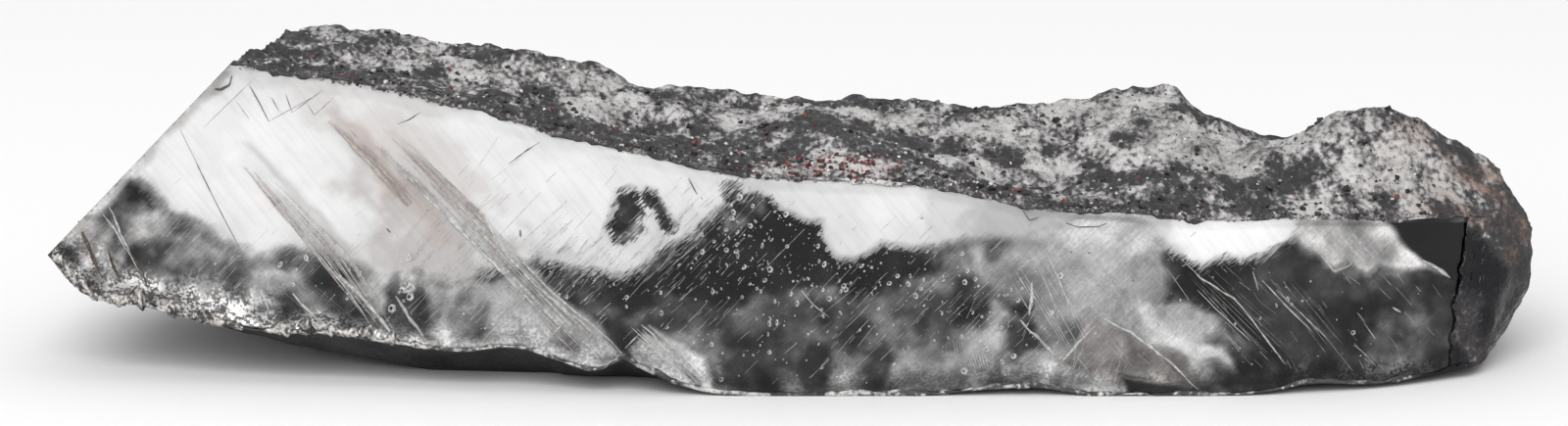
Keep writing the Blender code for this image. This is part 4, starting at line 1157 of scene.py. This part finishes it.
heartLook = {
    "roughness": 0.6, "rising": 45.6, "longHairs": (420, 600, 4600), "shortHairs": (1000, 900, 8000),
    "hairContrast": 4.0, "coarse": 420.0, "fine": 2600.0, "contrast": 1.6,
    "darkest": 0.87, "lightest": 1.14, "streakDark": 0.9, "streakLight": 1.1, "reflectionDarkest": 0.985,
    "falling": -51.5, "planeHairs": (110, 400, 1700), "planeDark": 0.96, "planeLight": 1.04,
    "sugar": (700.0, 2600.0), "sugarDark": 0.4, "sugarLight": 1.8, "bump": 0.2, "bumpHeight": 0.1,
}
points, faces, layers = makeHeart()
heartPiece = finishPiece(makeMesh("heart_with_painted_reflection", points, faces, layers),
                         paintedReflectionMaterial("seleniteWithPaintedReflection", heartLook))

# the reverse of seenFrom: where in the crystal the front shows (across, up) at a given depth
def behindFront(across, up, depth):
    rise = math.radians(viewpoint["elevation"])
    across, up = np.array(across, float), np.array(up, float)
    x = across
    for _ in range(3):
        away = frontY(x) - slab["frontY"]
        shrink = viewpoint["distance"] / (viewpoint["distance"] + away * math.cos(rise))
        x = across / shrink + depth * (x - viewpoint["target"][0]) / viewpoint["distance"] / 1.52
    z = (up / shrink - away * math.sin(rise)) / math.cos(rise)
    z = z - depth * math.tan(math.asin(math.sin(rise) / 1.52))
    return np.stack([x, frontY(x) + depth + 0 * z, z], -1)


# one shape stamped at many centres: each copy is sized along its own axes and then turned
def stampMany(shape, faces, centres, turns, sizes):
    points = np.einsum("nij,nkj->nki", turns, shape[None] * sizes[:, None]) + centres[:, None]
    faces = np.asarray(faces)
    allFaces = faces[None] + (np.arange(len(centres)) * len(shape))[:, None, None]
    return points.reshape(-1, 3), allFaces.reshape(-1, faces.shape[1]).tolist()


# turns about the y axis, in the plane of the front: x goes to x cos + z sin
def turnsInFront(angle):
    c, s, o = np.cos(angle), np.sin(angle), 0 * angle
    return np.stack([c, o, -s, o, o + 1, o, s, o, c], -1).reshape(-1, 3, 3)


# turns in every direction, from random quaternions
def turnsAnyway(rng, count):
    q = rng.normal(size=(count, 4))
    a, b, c, d = (q / np.linalg.norm(q, axis=1)[:, None]).T
    return np.stack([a*a + b*b - c*c - d*d, 2 * (b*c - a*d), 2 * (b*d + a*c),
                     2 * (b*c + a*d), a*a - b*b + c*c - d*d, 2 * (c*d - a*b),
                     2 * (b*d - a*c), 2 * (c*d + a*b), a*a - b*b - c*c + d*d], -1).reshape(-1, 3, 3)


blockCorners = np.array([(x, y, z) for x in (-0.5, 0.5) for y in (-0.5, 0.5) for z in (-0.5, 0.5)])
blockFaces = [(0, 1, 3, 2), (4, 6, 7, 5), (0, 4, 5, 1), (2, 3, 7, 6), (0, 2, 6, 4), (1, 5, 7, 3)]


# planes of cleavage seen on edge, each a ribbon with a diamond section carried along its points
# (width, depth, points across and up). Width swells in the middle and wavers by noise
brightLines = [
    (0.30, 0.35, [(-40.4, 24.2), (-37.8, 21.9), (-36.4, 18.7), (-34.1, 15.9), (-31.8, 13.6),
                  (-27.2, 9.8), (-23.8, 6.7)]),
    (0.26, 0.35, [(-37.8, 21.3), (-34.1, 17.3), (-30.1, 13), (-26.3, 9.8), (-22.6, 6.7),
                  (-20.9, 4.6)]),
    (0.20, 0.40, [(-34.4, 16.7), (-31.5, 13), (-28.4, 9.5), (-24, 4.6)]),
    (0.30, 0.30, [(-18.9, 8.7), (-15.4, 5.5), (-11.4, 0.8)]),
    (0.22, 0.30, [(-18, 8.7), (-14.2, 5), (-10.2, 0.8)]),
    (0.16, 0.30, [(-19.4, 7.2), (-15.6, 4), (-12, 0.9)]),
    (0.45, 0.40, [(-61.1, 12.3), (-59.3, 10.2), (-57.5, 8.4)]),
    (0.55, 0.40, [(-56, 15.1), (-52.4, 11.4), (-49, 7.2)]),
    (0.18, 0.30, [(-57.5, 16.6), (-54.6, 12.9), (-51.4, 8)]),
    (0.40, 0.40, [(-48.7, 12), (-47, 9.4), (-45.4, 7.2)]),
    (0.25, 0.40, [(-65.1, 12.7), (-64.4, 11), (-63.9, 9.6)]),
    (0.32, 0.50, [(-83.2, 23), (-82, 19.4), (-79.8, 15)]),
    (0.22, 0.50, [(-84.1, 22), (-82.6, 20), (-81.4, 17.6)]),
    (0.20, 0.30, [(-20.9, 5.8), (-19.2, 7.5)]),
    (0.22, 0.30, [(-31.8, 5.2), (-27.5, 9.8)]),
    (0.45, 0.40, [(28.5, 13.8), (28.6, 12), (28.2, 9.9)]),
    (0.38, 0.40, [(27.1, 9.3), (29.6, 6.8), (32.3, 4.2)]),
    (0.30, 0.40, [(32, 4), (34.1, 6)]),
    (0.14, 0.30, [(0.5, 12.9), (2, 11.2), (3.9, 9.6)]),
    (0.18, 0.40, [(30.5, 17.2), (32.4, 12.6), (33.8, 9.6)]),
    (0.14, 0.40, [(29.4, 15.4), (31, 12), (31.8, 9.4)]),
    (0.22, 0.30, [(46.7, 16.6), (49.2, 14.3), (53.1, 11.9), (56.9, 7.3), (59.4, 3.9)]),
    (0.14, 0.30, [(48.6, 12.9), (52, 9.6), (55.2, 6.7)]),
    (0.28, 0.30, [(36.3, 9.9), (40.6, 7.7), (44.9, 4.5), (48.9, 0.7)]),
    (0.28, 0.30, [(36.2, 8.5), (34, 6.2), (31.9, 3.8)]),
    (0.55, 0.25, [(75.9, 16.3), (77.7, 15.2), (79.3, 14.1)]),
    (0.50, 0.25, [(81.4, 14.5), (83, 13.3)]),
    (0.16, 0.30, [(81, 20.6), (82, 18), (83, 15.4)]),
    (0.35, 0.30, [(63.6, 17), (65.2, 15.1), (66.8, 15.7), (67.8, 16.5)]),
    (0.28, 0.30, [(72.4, 10.7), (73.4, 10)]),
    (0.18, 0.40, [(56.5, 14.1), (59.4, 11), (62.6, 7.8)]),
    (0.14, 0.40, [(58.2, 12.9), (61.4, 9.9), (64.4, 7)]),
    (0.16, 0.40, [(55.3, 15.2), (56, 12.9)]),
] + [(0.10, 0.3, [(19 + 0.36 * k, 6.9 - 0.12 * k), (19.3 + 0.36 * k, 5), (20.3 + 0.3 * k, 3.2)])
     for k in range(11)]
stainedLines = [
    (0.40, 0.30, [(-87, 21), (-85.6, 17.4), (-84.2, 14)]),
    (0.30, 0.30, [(-83.4, 17.6), (-82.8, 15.2), (-82, 13.6)]),
    (0.25, 0.30, [(-81.3, 18), (-79.4, 15), (-78.7, 12.8)]),
    (0.24, 0.25, [(-68, 38.6), (-68.3, 37.5), (-69.4, 36.9), (-70.6, 37)]),
    (0.13, 0.25, [(-48.1, 32.9), (-46.8, 33.4), (-45.4, 34.3)]),
    (0.12, 0.25, [(-34.7, 28.2), (-32.6, 29.8), (-31, 30.8)]),
    (0.12, 0.25, [(-13.1, 26.5), (-12, 24.5)]),
    (0.16, 0.25, [(32.6, 21.1), (34, 20.6), (36.5, 20.6), (37.6, 21.1)]),
    (0.14, 0.25, [(27.4, 22.6), (28.2, 21.4), (29.4, 21.8)]),
]
darkHairs = [
    (0.10, 0.25, [(-74.6, 32.6), (-71, 24.8), (-66.9, 16.6)]),
    (0.13, 0.25, [(-65.9, 37.4), (-64.8, 35.4), (-63.7, 33.1)]),
    (0.07, 0.25, [(-63.7, 33.1), (-60.5, 34.9), (-57.3, 36.6)]),
    (0.10, 0.25, [(-63.3, 36), (-62.4, 34.3)]),
    (0.09, 0.25, [(-61.6, 36.4), (-60.8, 34.2)]),
    (0.06, 0.25, [(-60.8, 34.2), (-57.2, 36.9)]),
    (0.06, 0.25, [(-71.5, 32.4), (-68.4, 35.4), (-65.6, 38)]),
    (0.07, 0.25, [(-67.6, 35.6), (-66, 33.4)]),
    (0.07, 0.25, [(-59.4, 36), (-58.2, 33.9), (-55.8, 36)]),
    (0.24, 0.30, [(-49.6, 20.3), (-49.1, 19.8)]),
    (0.26, 0.30, [(-33.4, 20.2), (-33.4, 19.3)]),
    (0.22, 0.30, [(44.9, 16.7), (45.2, 16.6)]),
    (0.20, 0.30, [(35.3, 17.5), (35.6, 17.4)]),
    (0.18, 0.30, [(33.1, 17.6), (33.4, 17.5)]),
    (0.20, 0.30, [(40.7, 14.1), (41, 14)]),
]


def makeLines(name, lines, material, seed):
    allPoints, allFaces, count = [], [], 0
    for k, (wide, depth, corners) in enumerate(lines):
        corners = np.array(corners, float)
        reach = np.concatenate([[0], np.cumsum(np.hypot(*np.diff(corners, axis=0).T))])
        t = np.linspace(0, reach[-1], max(int(reach[-1] / 0.25), 3) + 1)
        across, up = np.interp(t, reach, corners[:, 0]), np.interp(t, reach, corners[:, 1])
        waver = min(1.0, (wide / 0.3) ** 1.5) * noise(t, 0 * t, 0 * t + k, 1.6, seed)
        across, up = across + 0.10 * waver, up + 0.06 * waver
        along = np.stack([np.gradient(across), np.gradient(up)], -1)
        along /= np.linalg.norm(along, axis=1)[:, None]
        swell = np.sin(np.pi * np.clip(t / reach[-1], 0.04, 0.96)) ** 0.5
        half = 0.5 * wide * swell * (1 + 0.45 * noise(t, 0 * t, 0 * t + k, 0.7, seed + 5))
        rings = []
        for sideways, inwards in ((1, 0), (0, 1), (-1, 0), (0, -1)):
            place = behindFront(across - along[:, 1] * half * sideways,
                                up + along[:, 0] * half * sideways, depth)
            place[:, 1] += 0.5 * inwards * np.minimum(half, 0.2)
            rings.append(place)
        points, faces = closeTube(np.stack(rings, 1))
        allPoints.append(points)
        allFaces += [[i + count for i in face] for face in faces]
        count += len(points)
    return finishPiece(makeMesh(name, np.vstack(allPoints), allFaces), material)


# fine lines side by side: each lies somewhere between two paths and covers part of their length
def fanLines(count, wide, depth, first, last, seed):
    pick = np.random.default_rng(seed)
    first, last = np.array(first, float), np.array(last, float)
    rows = []
    for share, start, length in pick.uniform(0, 1, (count, 3)):
        path = first + (last - first) * share
        length = 0.25 + 0.6 * length
        at = np.linspace(0, len(path) - 1, 5) * length + (len(path) - 1) * start * (1 - length)
        points = np.stack([np.interp(at, np.arange(len(path)), path[:, k]) for k in range(2)], -1)
        rows.append((wide * (0.5 + 0.8 * share), depth, points))
    return rows


cometUpper = [(-64.3, 27.1), (-53.9, 16.7), (-48.7, 7.7)]
cometLower = [(-67.1, 28.1), (-59.1, 17.7), (-51.1, 7.7)]
bandUpper = [(-48.7, 31.9), (-39.7, 23.8), (-22.7, 5.8)]
bandLower = [(-51.0, 30.0), (-42.1, 21.4), (-26.5, 5.4)]
brightLines += fanLines(16, 0.10, 0.3, cometUpper, cometLower, 31)
brightLines += fanLines(26, 0.12, 0.3, bandUpper, bandLower, 32)
brightLines += fanLines(14, 0.12, 0.3, [(-32, 15), (-22.6, 6)], [(-34, 13.4), (-26, 5.4)], 33)
brightLines += fanLines(16, 0.12, 0.3, [(-18.3, 8.9), (-8.9, 0.6)], [(-20.2, 8.4), (-12.7, 1.3)], 34)
brightLines += fanLines(14, 0.09, 0.4, [(28, 20), (33, 12), (36, 6)], [(26, 14), (29, 9), (33, 3)], 37)
brightLines += fanLines(10, 0.10, 0.3, [(70, 20), (72, 17)], [(64, 20), (68, 16)], 39)
faintLines = fanLines(12, 0.07, 0.5, [(50.0, 16), (62.5, 5)], [(47.0, 15), (58, 3.6)], 35)
faintLines += fanLines(12, 0.07, 0.5, [(60.5, 15), (68.5, 6)], [(55.5, 14), (62, 5)], 36)
faintLines += fanLines(5, 0.06, 0.5, [(38.5, 8.4), (43.5, 3)], [(36, 8.4), (40, 3)], 38)
faintLines += fanLines(14, 0.06, 0.5, [(-60, 15), (-52, 8)], [(-66, 14), (-60, 9)], 40)
warmLines = fanLines(16, 0.16, 0.35, [(-54.9, 34.2), (-44.6, 22.9)], [(-56.8, 33.6), (-46.6, 22.4)], 41)
warmLines += fanLines(14, 0.14, 0.35, [(-48.2, 31.9), (-39.2, 23.4), (-32.4, 15.6)],
                      [(-49.4, 31.2), (-40.6, 22.6), (-34.6, 14)], 42)
warmLines += fanLines(14, 0.12, 0.35, cometUpper, cometLower, 43)
warmLines += fanLines(10, 0.10, 0.35, [(-28, 11), (-22.8, 5.4)], [(-32, 10), (-27, 5)], 44)

veilWhite = plainMaterial("veilWhite", (0.84, 0.835, 0.825), 0.6, 0.7, 1.1)
planeGrey = plainMaterial("planeGrey", (0.66, 0.655, 0.65), 0.6, 0.8, 1.25)
makeLines("cleavage_planes", brightLines, planeGrey, 201)
makeLines("faint_planes", faintLines, plainMaterial("planeFaint", (0.24, 0.235, 0.235), 0.6, 0.5, 1.6),
          203)
makeLines("warm_planes", warmLines, plainMaterial("planeWarm", (0.55, 0.485, 0.46), 0.6, 0.85, 1.2),
          205)
makeLines("stained_cracks", stainedLines, plainMaterial("crackStain", (0.13, 0.09, 0.065), 0.7),
          211)
makeLines("dark_hairs", darkHairs, plainMaterial("hairGrey", (0.26, 0.25, 0.25), 0.7), 221)

# hair-thin scratches: count, middle (across, up), spread, angle, its spread, mean length
scratches = [
    (170, (-24, 15.5), (7.5, 3.0), 46, 3, 2.2), (130, (-12, 19), (4.5, 3.6), 46, 3, 2.0),
    (150, (20, 12), (13, 4.5), 46, 3, 2.2), (90, (-60, 16), (15, 3.5), 46, 3, 2.6),
    (160, (-38, 16), (7, 6), 46, 4, 3.4), (70, (33, 8), (5, 4), 62, 14, 2.6),
    (90, (60, 10), (13, 4.5), -50, 6, 2.2), (70, (0, 9), (12, 4), 46, 3, 1.8),
]
# sealed bubbles: count, middle, spread, least and greatest radius
bubbles = [
    (90, (-1, 15.5), (7.5, 3.6), 0.07, 0.36), (60, (12, 13), (8, 3.2), 0.07, 0.32),
    (45, (-8, 20), (4, 3), 0.07, 0.34), (40, (-3, 6), (9, 3.2), 0.07, 0.32),
    (30, (24, 9), (5, 4), 0.07, 0.34), (14, (-60, 14), (8, 1.6), 0.15, 0.5),
    (40, (-47.3, 15.4), (0.6, 1.9), 0.15, 0.45), (8, (-42, 18), (4, 4), 0.15, 0.42),
    (20, (-24, 13), (5, 2.4), 0.07, 0.3), (16, (57, 11), (7, 3), 0.07, 0.3),
]
# tiny bright specks, shapeless at this distance: count, middle, spread, least and greatest size
specks = [
    (220, (-2, 16), (8, 4.5), 0.06, 0.34), (120, (12, 12), (9, 5), 0.06, 0.30),
    (70, (-14, 20), (5, 3), 0.06, 0.34), (110, (27, 9), (8, 5), 0.06, 0.30),
    (120, (-45, 12), (18, 5), 0.06, 0.30), (90, (62, 11), (12, 5), 0.06, 0.26),
]


# keeps random places inside the front's outline, a little in from the rim and the lip
def keepInside(across, up):
    place = behindFront(across, up, 0.5)
    x, z = place[:, 0], place[:, 2]
    low = smoothRail(slab["frontRim"], x) + 1.2
    high = smoothRail(slab["frontTop"], np.maximum(x, slab["cornerX"])) - 1.5
    slant = slab["tipX"] + 2.0 + (z - 15.6) * 0.96
    return (z > low) & (z < high) & (x > slant) & (x < 82)


# each scratch is a long thin block lying just inside the front
def makeScratches(rng):
    centres, turns, sizes = [], [], []
    for count, middle, spread, angle, angleSpread, length in scratches:
        across = rng.normal(middle[0], spread[0], count)
        up = rng.normal(middle[1], spread[1], count)
        angles = np.radians(rng.normal(angle, angleSpread, count))
        long = length * rng.lognormal(-0.3, 0.6, count)
        thin = rng.uniform(0.02, 0.06, count)
        keep = keepInside(across, up)
        centres.append(behindFront(across, up, rng.uniform(0.12, 0.5, count))[keep])
        turns.append(turnsInFront(angles)[keep])
        sizes.append(np.stack([np.minimum(long, 9.0), 0.04 + 0 * thin, thin], -1)[keep])
    points, faces = stampMany(blockCorners, blockFaces, np.vstack(centres), np.vstack(turns),
                              np.vstack(sizes))
    return makeMesh("surface_scratches", points, faces, smooth=False)


# each bubble is a flattened ring: a small circle carried round a larger one
def makeBubbles(rng):
    around, section = np.meshgrid(np.arange(6) * np.pi / 3, np.arange(4) * np.pi / 2, indexing="ij")
    radius = 1 + 0.4 * np.cos(section) * (1 + 0.6 * np.cos(around))
    ring = np.stack([radius * np.cos(around), 0.34 * np.sin(section), radius * np.sin(around)], -1)
    i, j = np.meshgrid(np.arange(6), np.arange(4), indexing="ij")
    i2, j2 = (i + 1) % 6, (j + 1) % 4
    faces = np.stack([i * 4 + j, i * 4 + j2, i2 * 4 + j2, i2 * 4 + j], -1).reshape(-1, 4)
    centres, turns, sizes = [], [], []
    for count, middle, spread, least, greatest in bubbles:
        across = rng.normal(middle[0], spread[0], count)
        up = rng.normal(middle[1], spread[1], count)
        keep = keepInside(across, up)
        radius = least + (greatest - least) * rng.uniform(0, 1, count) ** 2.2
        sizes.append(np.stack([radius * rng.uniform(0.4, 1.0, count), radius * 0.6, radius], -1)[keep])
        centres.append(behindFront(across, up, rng.uniform(0.45, 1.6, count))[keep])
        turns.append(turnsInFront(rng.normal(-0.2, 0.5, count))[keep])
    points, faces = stampMany(ring.reshape(-1, 3), faces, np.vstack(centres), np.vstack(turns),
                              np.vstack(sizes))
    return makeMesh("fluid_bubbles", points, faces)


# each speck is a small eight-faced chip lying anyhow
def makeSpecks(rng):
    chip = 0.5 * np.array([(1, 0, 0), (-1, 0, 0), (0, 1, 0), (0, -1, 0), (0, 0, 1), (0, 0, -1)])
    faces = [(0, 2, 4), (2, 1, 4), (1, 3, 4), (3, 0, 4), (2, 0, 5), (1, 2, 5), (3, 1, 5), (0, 3, 5)]
    centres, sizes = [], []
    for count, middle, spread, least, greatest in specks:
        across = rng.normal(middle[0], spread[0], count)
        up = rng.normal(middle[1], spread[1], count)
        keep = keepInside(across, up)
        size = least + (greatest - least) * rng.uniform(0, 1, (count, 1)) ** 2.5
        sizes.append((size * rng.uniform(0.5, 1.3, (count, 3)))[keep])
        centres.append(behindFront(across, up, rng.uniform(0.4, 1.4, count))[keep])
    centres = np.vstack(centres)
    points, faces = stampMany(chip, faces, centres, turnsAnyway(rng, len(centres)),
                              np.vstack(sizes))
    return makeMesh("bright_specks", points, faces, smooth=False)


rng = np.random.default_rng(7)
scratchGrey = plainMaterial("scratchGrey", (0.52, 0.515, 0.51), 0.6, 0.6, 1.3)
finishPiece(makeScratches(rng), scratchGrey)
finishPiece(makeBubbles(rng), veilWhite)
finishPiece(makeSpecks(rng), veilWhite)

# the frosted rim: a sugary bead along the lower edge, thick at the left and thin elsewhere
frost = {
    "rings": 900, "around": 12, "thin": 0.17, "thick": 0.7, "thickUntil": -58.0, "thickFade": 16.0,
    "lumps": 1.1, "lumpWave": 1.5, "pits": 0.5, "pitWave": 0.55, "rise": 0.75, "in": 0.35,
    "end": 0.965, "seed": 231,
}


# rings of a circle carried along the lower edge; the radius swells and shrinks by noise
def makeFrost():
    u = np.linspace(0.002, frost["end"], frost["rings"])[:, None]
    centre = slabPoint(u, 0 * u, 0 * u)
    x, y, z = np.moveaxis(centre, -1, 0)
    left = smoothStep(frost["thickUntil"] + frost["thickFade"], frost["thickUntil"], x)
    radius = frost["thin"] + (frost["thick"] - frost["thin"]) * left
    radius = radius * (1 + frost["lumps"] * noise(x, 0 * x, 0 * x, frost["lumpWave"], frost["seed"]))
    taper = smoothStep(0.0, 0.01, u) * smoothStep(frost["end"], frost["end"] - 0.01, u)
    radius = np.maximum(radius, 0.05) * (0.1 + 0.9 * taper)
    angle = np.linspace(0, 2 * np.pi, frost["around"], endpoint=False)[None]
    flat = np.stack([x + 0 * angle, y + frost["in"] * radius + radius * np.cos(angle),
                     z + frost["rise"] * radius + radius * np.sin(angle)], -1)
    fx, fy, fz = np.moveaxis(flat, -1, 0)
    rough = fractal(fx, fy, fz, frost["pitWave"], frost["seed"] + 3, 3)
    grow = 1 + frost["pits"] * rough
    middle = np.stack([x, y + frost["in"] * radius, z + frost["rise"] * radius], -1)
    place = middle + (flat - middle) * grow[..., None]
    place[..., 0] += 0.3 * radius * rough
    place[..., 2] = np.maximum(place[..., 2], 0.0)
    points, faces = closeTube(place)
    return makeMesh("edge_frost", points, faces)


frostWhite = plainMaterial("frostWhite", (0.22, 0.21, 0.20), 0.5, 0.15, 1.7)
finishPiece(makeFrost(), frostWhite)

# loose-looking grains set in the crust: blocks a few tenths of a millimetre across
grains = {"dark": 1100, "pale": 600, "proustite": 230, "lip": 1000, "least": 0.16, "greatest": 0.55,
          "seed": 17}


# grains of one kind, sunk into the crust's top where u and w are given, or scattered down the front
def makeGrains(rng, name, u, w, scale, downFront=0.0):
    count = len(u)
    size = grains["least"] + (grains["greatest"] - grains["least"]) * rng.uniform(0, 1, count) ** 2
    centres = crustTop(u[:, None], w[:, None])[:, 0]
    if downFront:
        thick = downFront * (1 + 1.2 * smoothStep(*crust["lipThickFrom"], centres[:, 0]))
        centres[:, 2] -= thick * rng.uniform(0, 1, count) ** 1.3
        centres[:, 1] -= rng.uniform(0.0, 0.2, count)
    sizes = scale * size[:, None] * rng.uniform(0.6, 1.3, (count, 3))
    points, faces = stampMany(blockCorners, blockFaces, centres, turnsAnyway(rng, count), sizes)
    points[:, 2] = np.maximum(points[:, 2], 0.0)
    return makeMesh(name, points, faces, smooth=False)


rng = np.random.default_rng(grains["seed"])
count = grains["dark"]
darkGrains = makeGrains(rng, "dark_grains", rng.uniform(0.005, 0.95, count),
                        rng.uniform(0.002, 0.98, count) ** 2.2, 1.2)
finishPiece(darkGrains, plainMaterial("grainDark", (0.022, 0.021, 0.022), 0.35))
count = grains["pale"]
paleGrains = makeGrains(rng, "pale_grains", rng.uniform(0.005, 0.95, count),
                        rng.uniform(0.002, 0.98, count) ** 1.6, 0.8)
finishPiece(paleGrains, plainMaterial("grainPale", (0.36, 0.35, 0.34), 0.5))
# crumbs along the lip, where the crust breaks off over the front
count = grains["lip"]
u = rng.uniform(0.004, 0.93, count)
lipGrains = makeGrains(rng, "lip_grains", u, 0 * u, 0.85, 0.4)
finishPiece(lipGrains, plainMaterial("grainLip", (0.080, 0.073, 0.073), 0.5, 0.4, 2.6))
# the proustite: mostly in the pale patch at the middle of the front, some along the whole lip
count = grains["proustite"]
inPatch = rng.uniform(0, 1, count) < 0.6
u = np.where(inPatch, (rng.normal(6, 4.5, count) + 68.6) / 153.6, rng.uniform(0.02, 0.93, count))
w = np.where(inPatch, np.abs(rng.normal(0.09, 0.08, count)), rng.uniform(0, 1, count) ** 2.5 * 0.6)
redGrains = makeGrains(rng, "proustite_grains", u, w, 1.15)
finishPiece(redGrains, plainMaterial("proustite", (0.085, 0.026, 0.024), 0.25, 0.4, 2.2))

# the studio: a pale floor, soft even light from all round, and one large soft light above
studio = {
    "floorGrey": 0.68, "floorRadius": 4.0, "skyStrength": 0.82, "gamma": 0.83,
    "softboxSize": 0.9, "softboxHeight": 0.75, "softboxPower": 0.28,
    "windowSize": 3.4, "windowPlace": (-0.5, -4.2, 2.3), "windowPower": 356.0,
}


# a flat round floor: rings of points about the origin
def makeFloor():
    angle = np.linspace(0, 2 * np.pi, 97)[:-1]
    points = np.stack([np.cos(angle), np.sin(angle), 0 * angle], -1) * studio["floorRadius"] / mm
    floor = makeMesh("floor", points, [list(range(len(points)))], smooth=False)
    material, tree, shader = newMaterial("paleFloor", Roughness=0.9)
    grey = studio["floorGrey"]
    shader.inputs["Base Color"].default_value = (grey, grey, grey, 1)
    shader.inputs["Specular IOR Level"].default_value = 0.1
    floor.data.materials.append(material)
    return floor


makeFloor()
world = bpy.data.worlds.new("studio")
bpy.context.scene.world = world
world.use_nodes = True
world.node_tree.nodes["Background"].inputs["Color"].default_value = (1, 1, 1, 1)
world.node_tree.nodes["Background"].inputs["Strength"].default_value = studio["skyStrength"]
softbox = bpy.data.lights.new("softbox", "AREA")
softbox.shape = "SQUARE"
softbox.size = studio["softboxSize"]
softbox.energy = studio["softboxPower"]
softboxObject = bpy.data.objects.new("softbox", softbox)
softboxObject.location = (-0.1, 0.1, studio["softboxHeight"])
bpy.context.scene.collection.objects.link(softboxObject)
window = bpy.data.lights.new("window", "AREA")
window.shape = "SQUARE"
window.size = studio["windowSize"]
window.energy = studio["windowPower"]
windowObject = bpy.data.objects.new("window", window)
windowObject.location = studio["windowPlace"]
windowObject.rotation_euler = Vector(studio["windowPlace"]).to_track_quat("Z", "Y").to_euler()
bpy.context.scene.collection.objects.link(windowObject)
bpy.context.scene.view_settings.view_transform = "Standard"
bpy.context.scene.view_settings.gamma = studio["gamma"]

camera = bpy.data.cameras.new("camera")
camera.lens = viewpoint["lens"]
camera.sensor_width = viewpoint["sensor"]
camera.clip_start = 0.01
camera.clip_end = 20.0
cameraObject = bpy.data.objects.new("camera", camera)
rise = math.radians(viewpoint["elevation"])
back = Vector((0, -math.cos(rise), math.sin(rise)))
cameraObject.location = (Vector(viewpoint["target"]) + back * viewpoint["distance"]) * mm
cameraObject.rotation_euler = (-back).to_track_quat("-Z", "Y").to_euler()
bpy.context.scene.collection.objects.link(cameraObject)
bpy.context.scene.camera = cameraObject
print("studio and camera are in place")
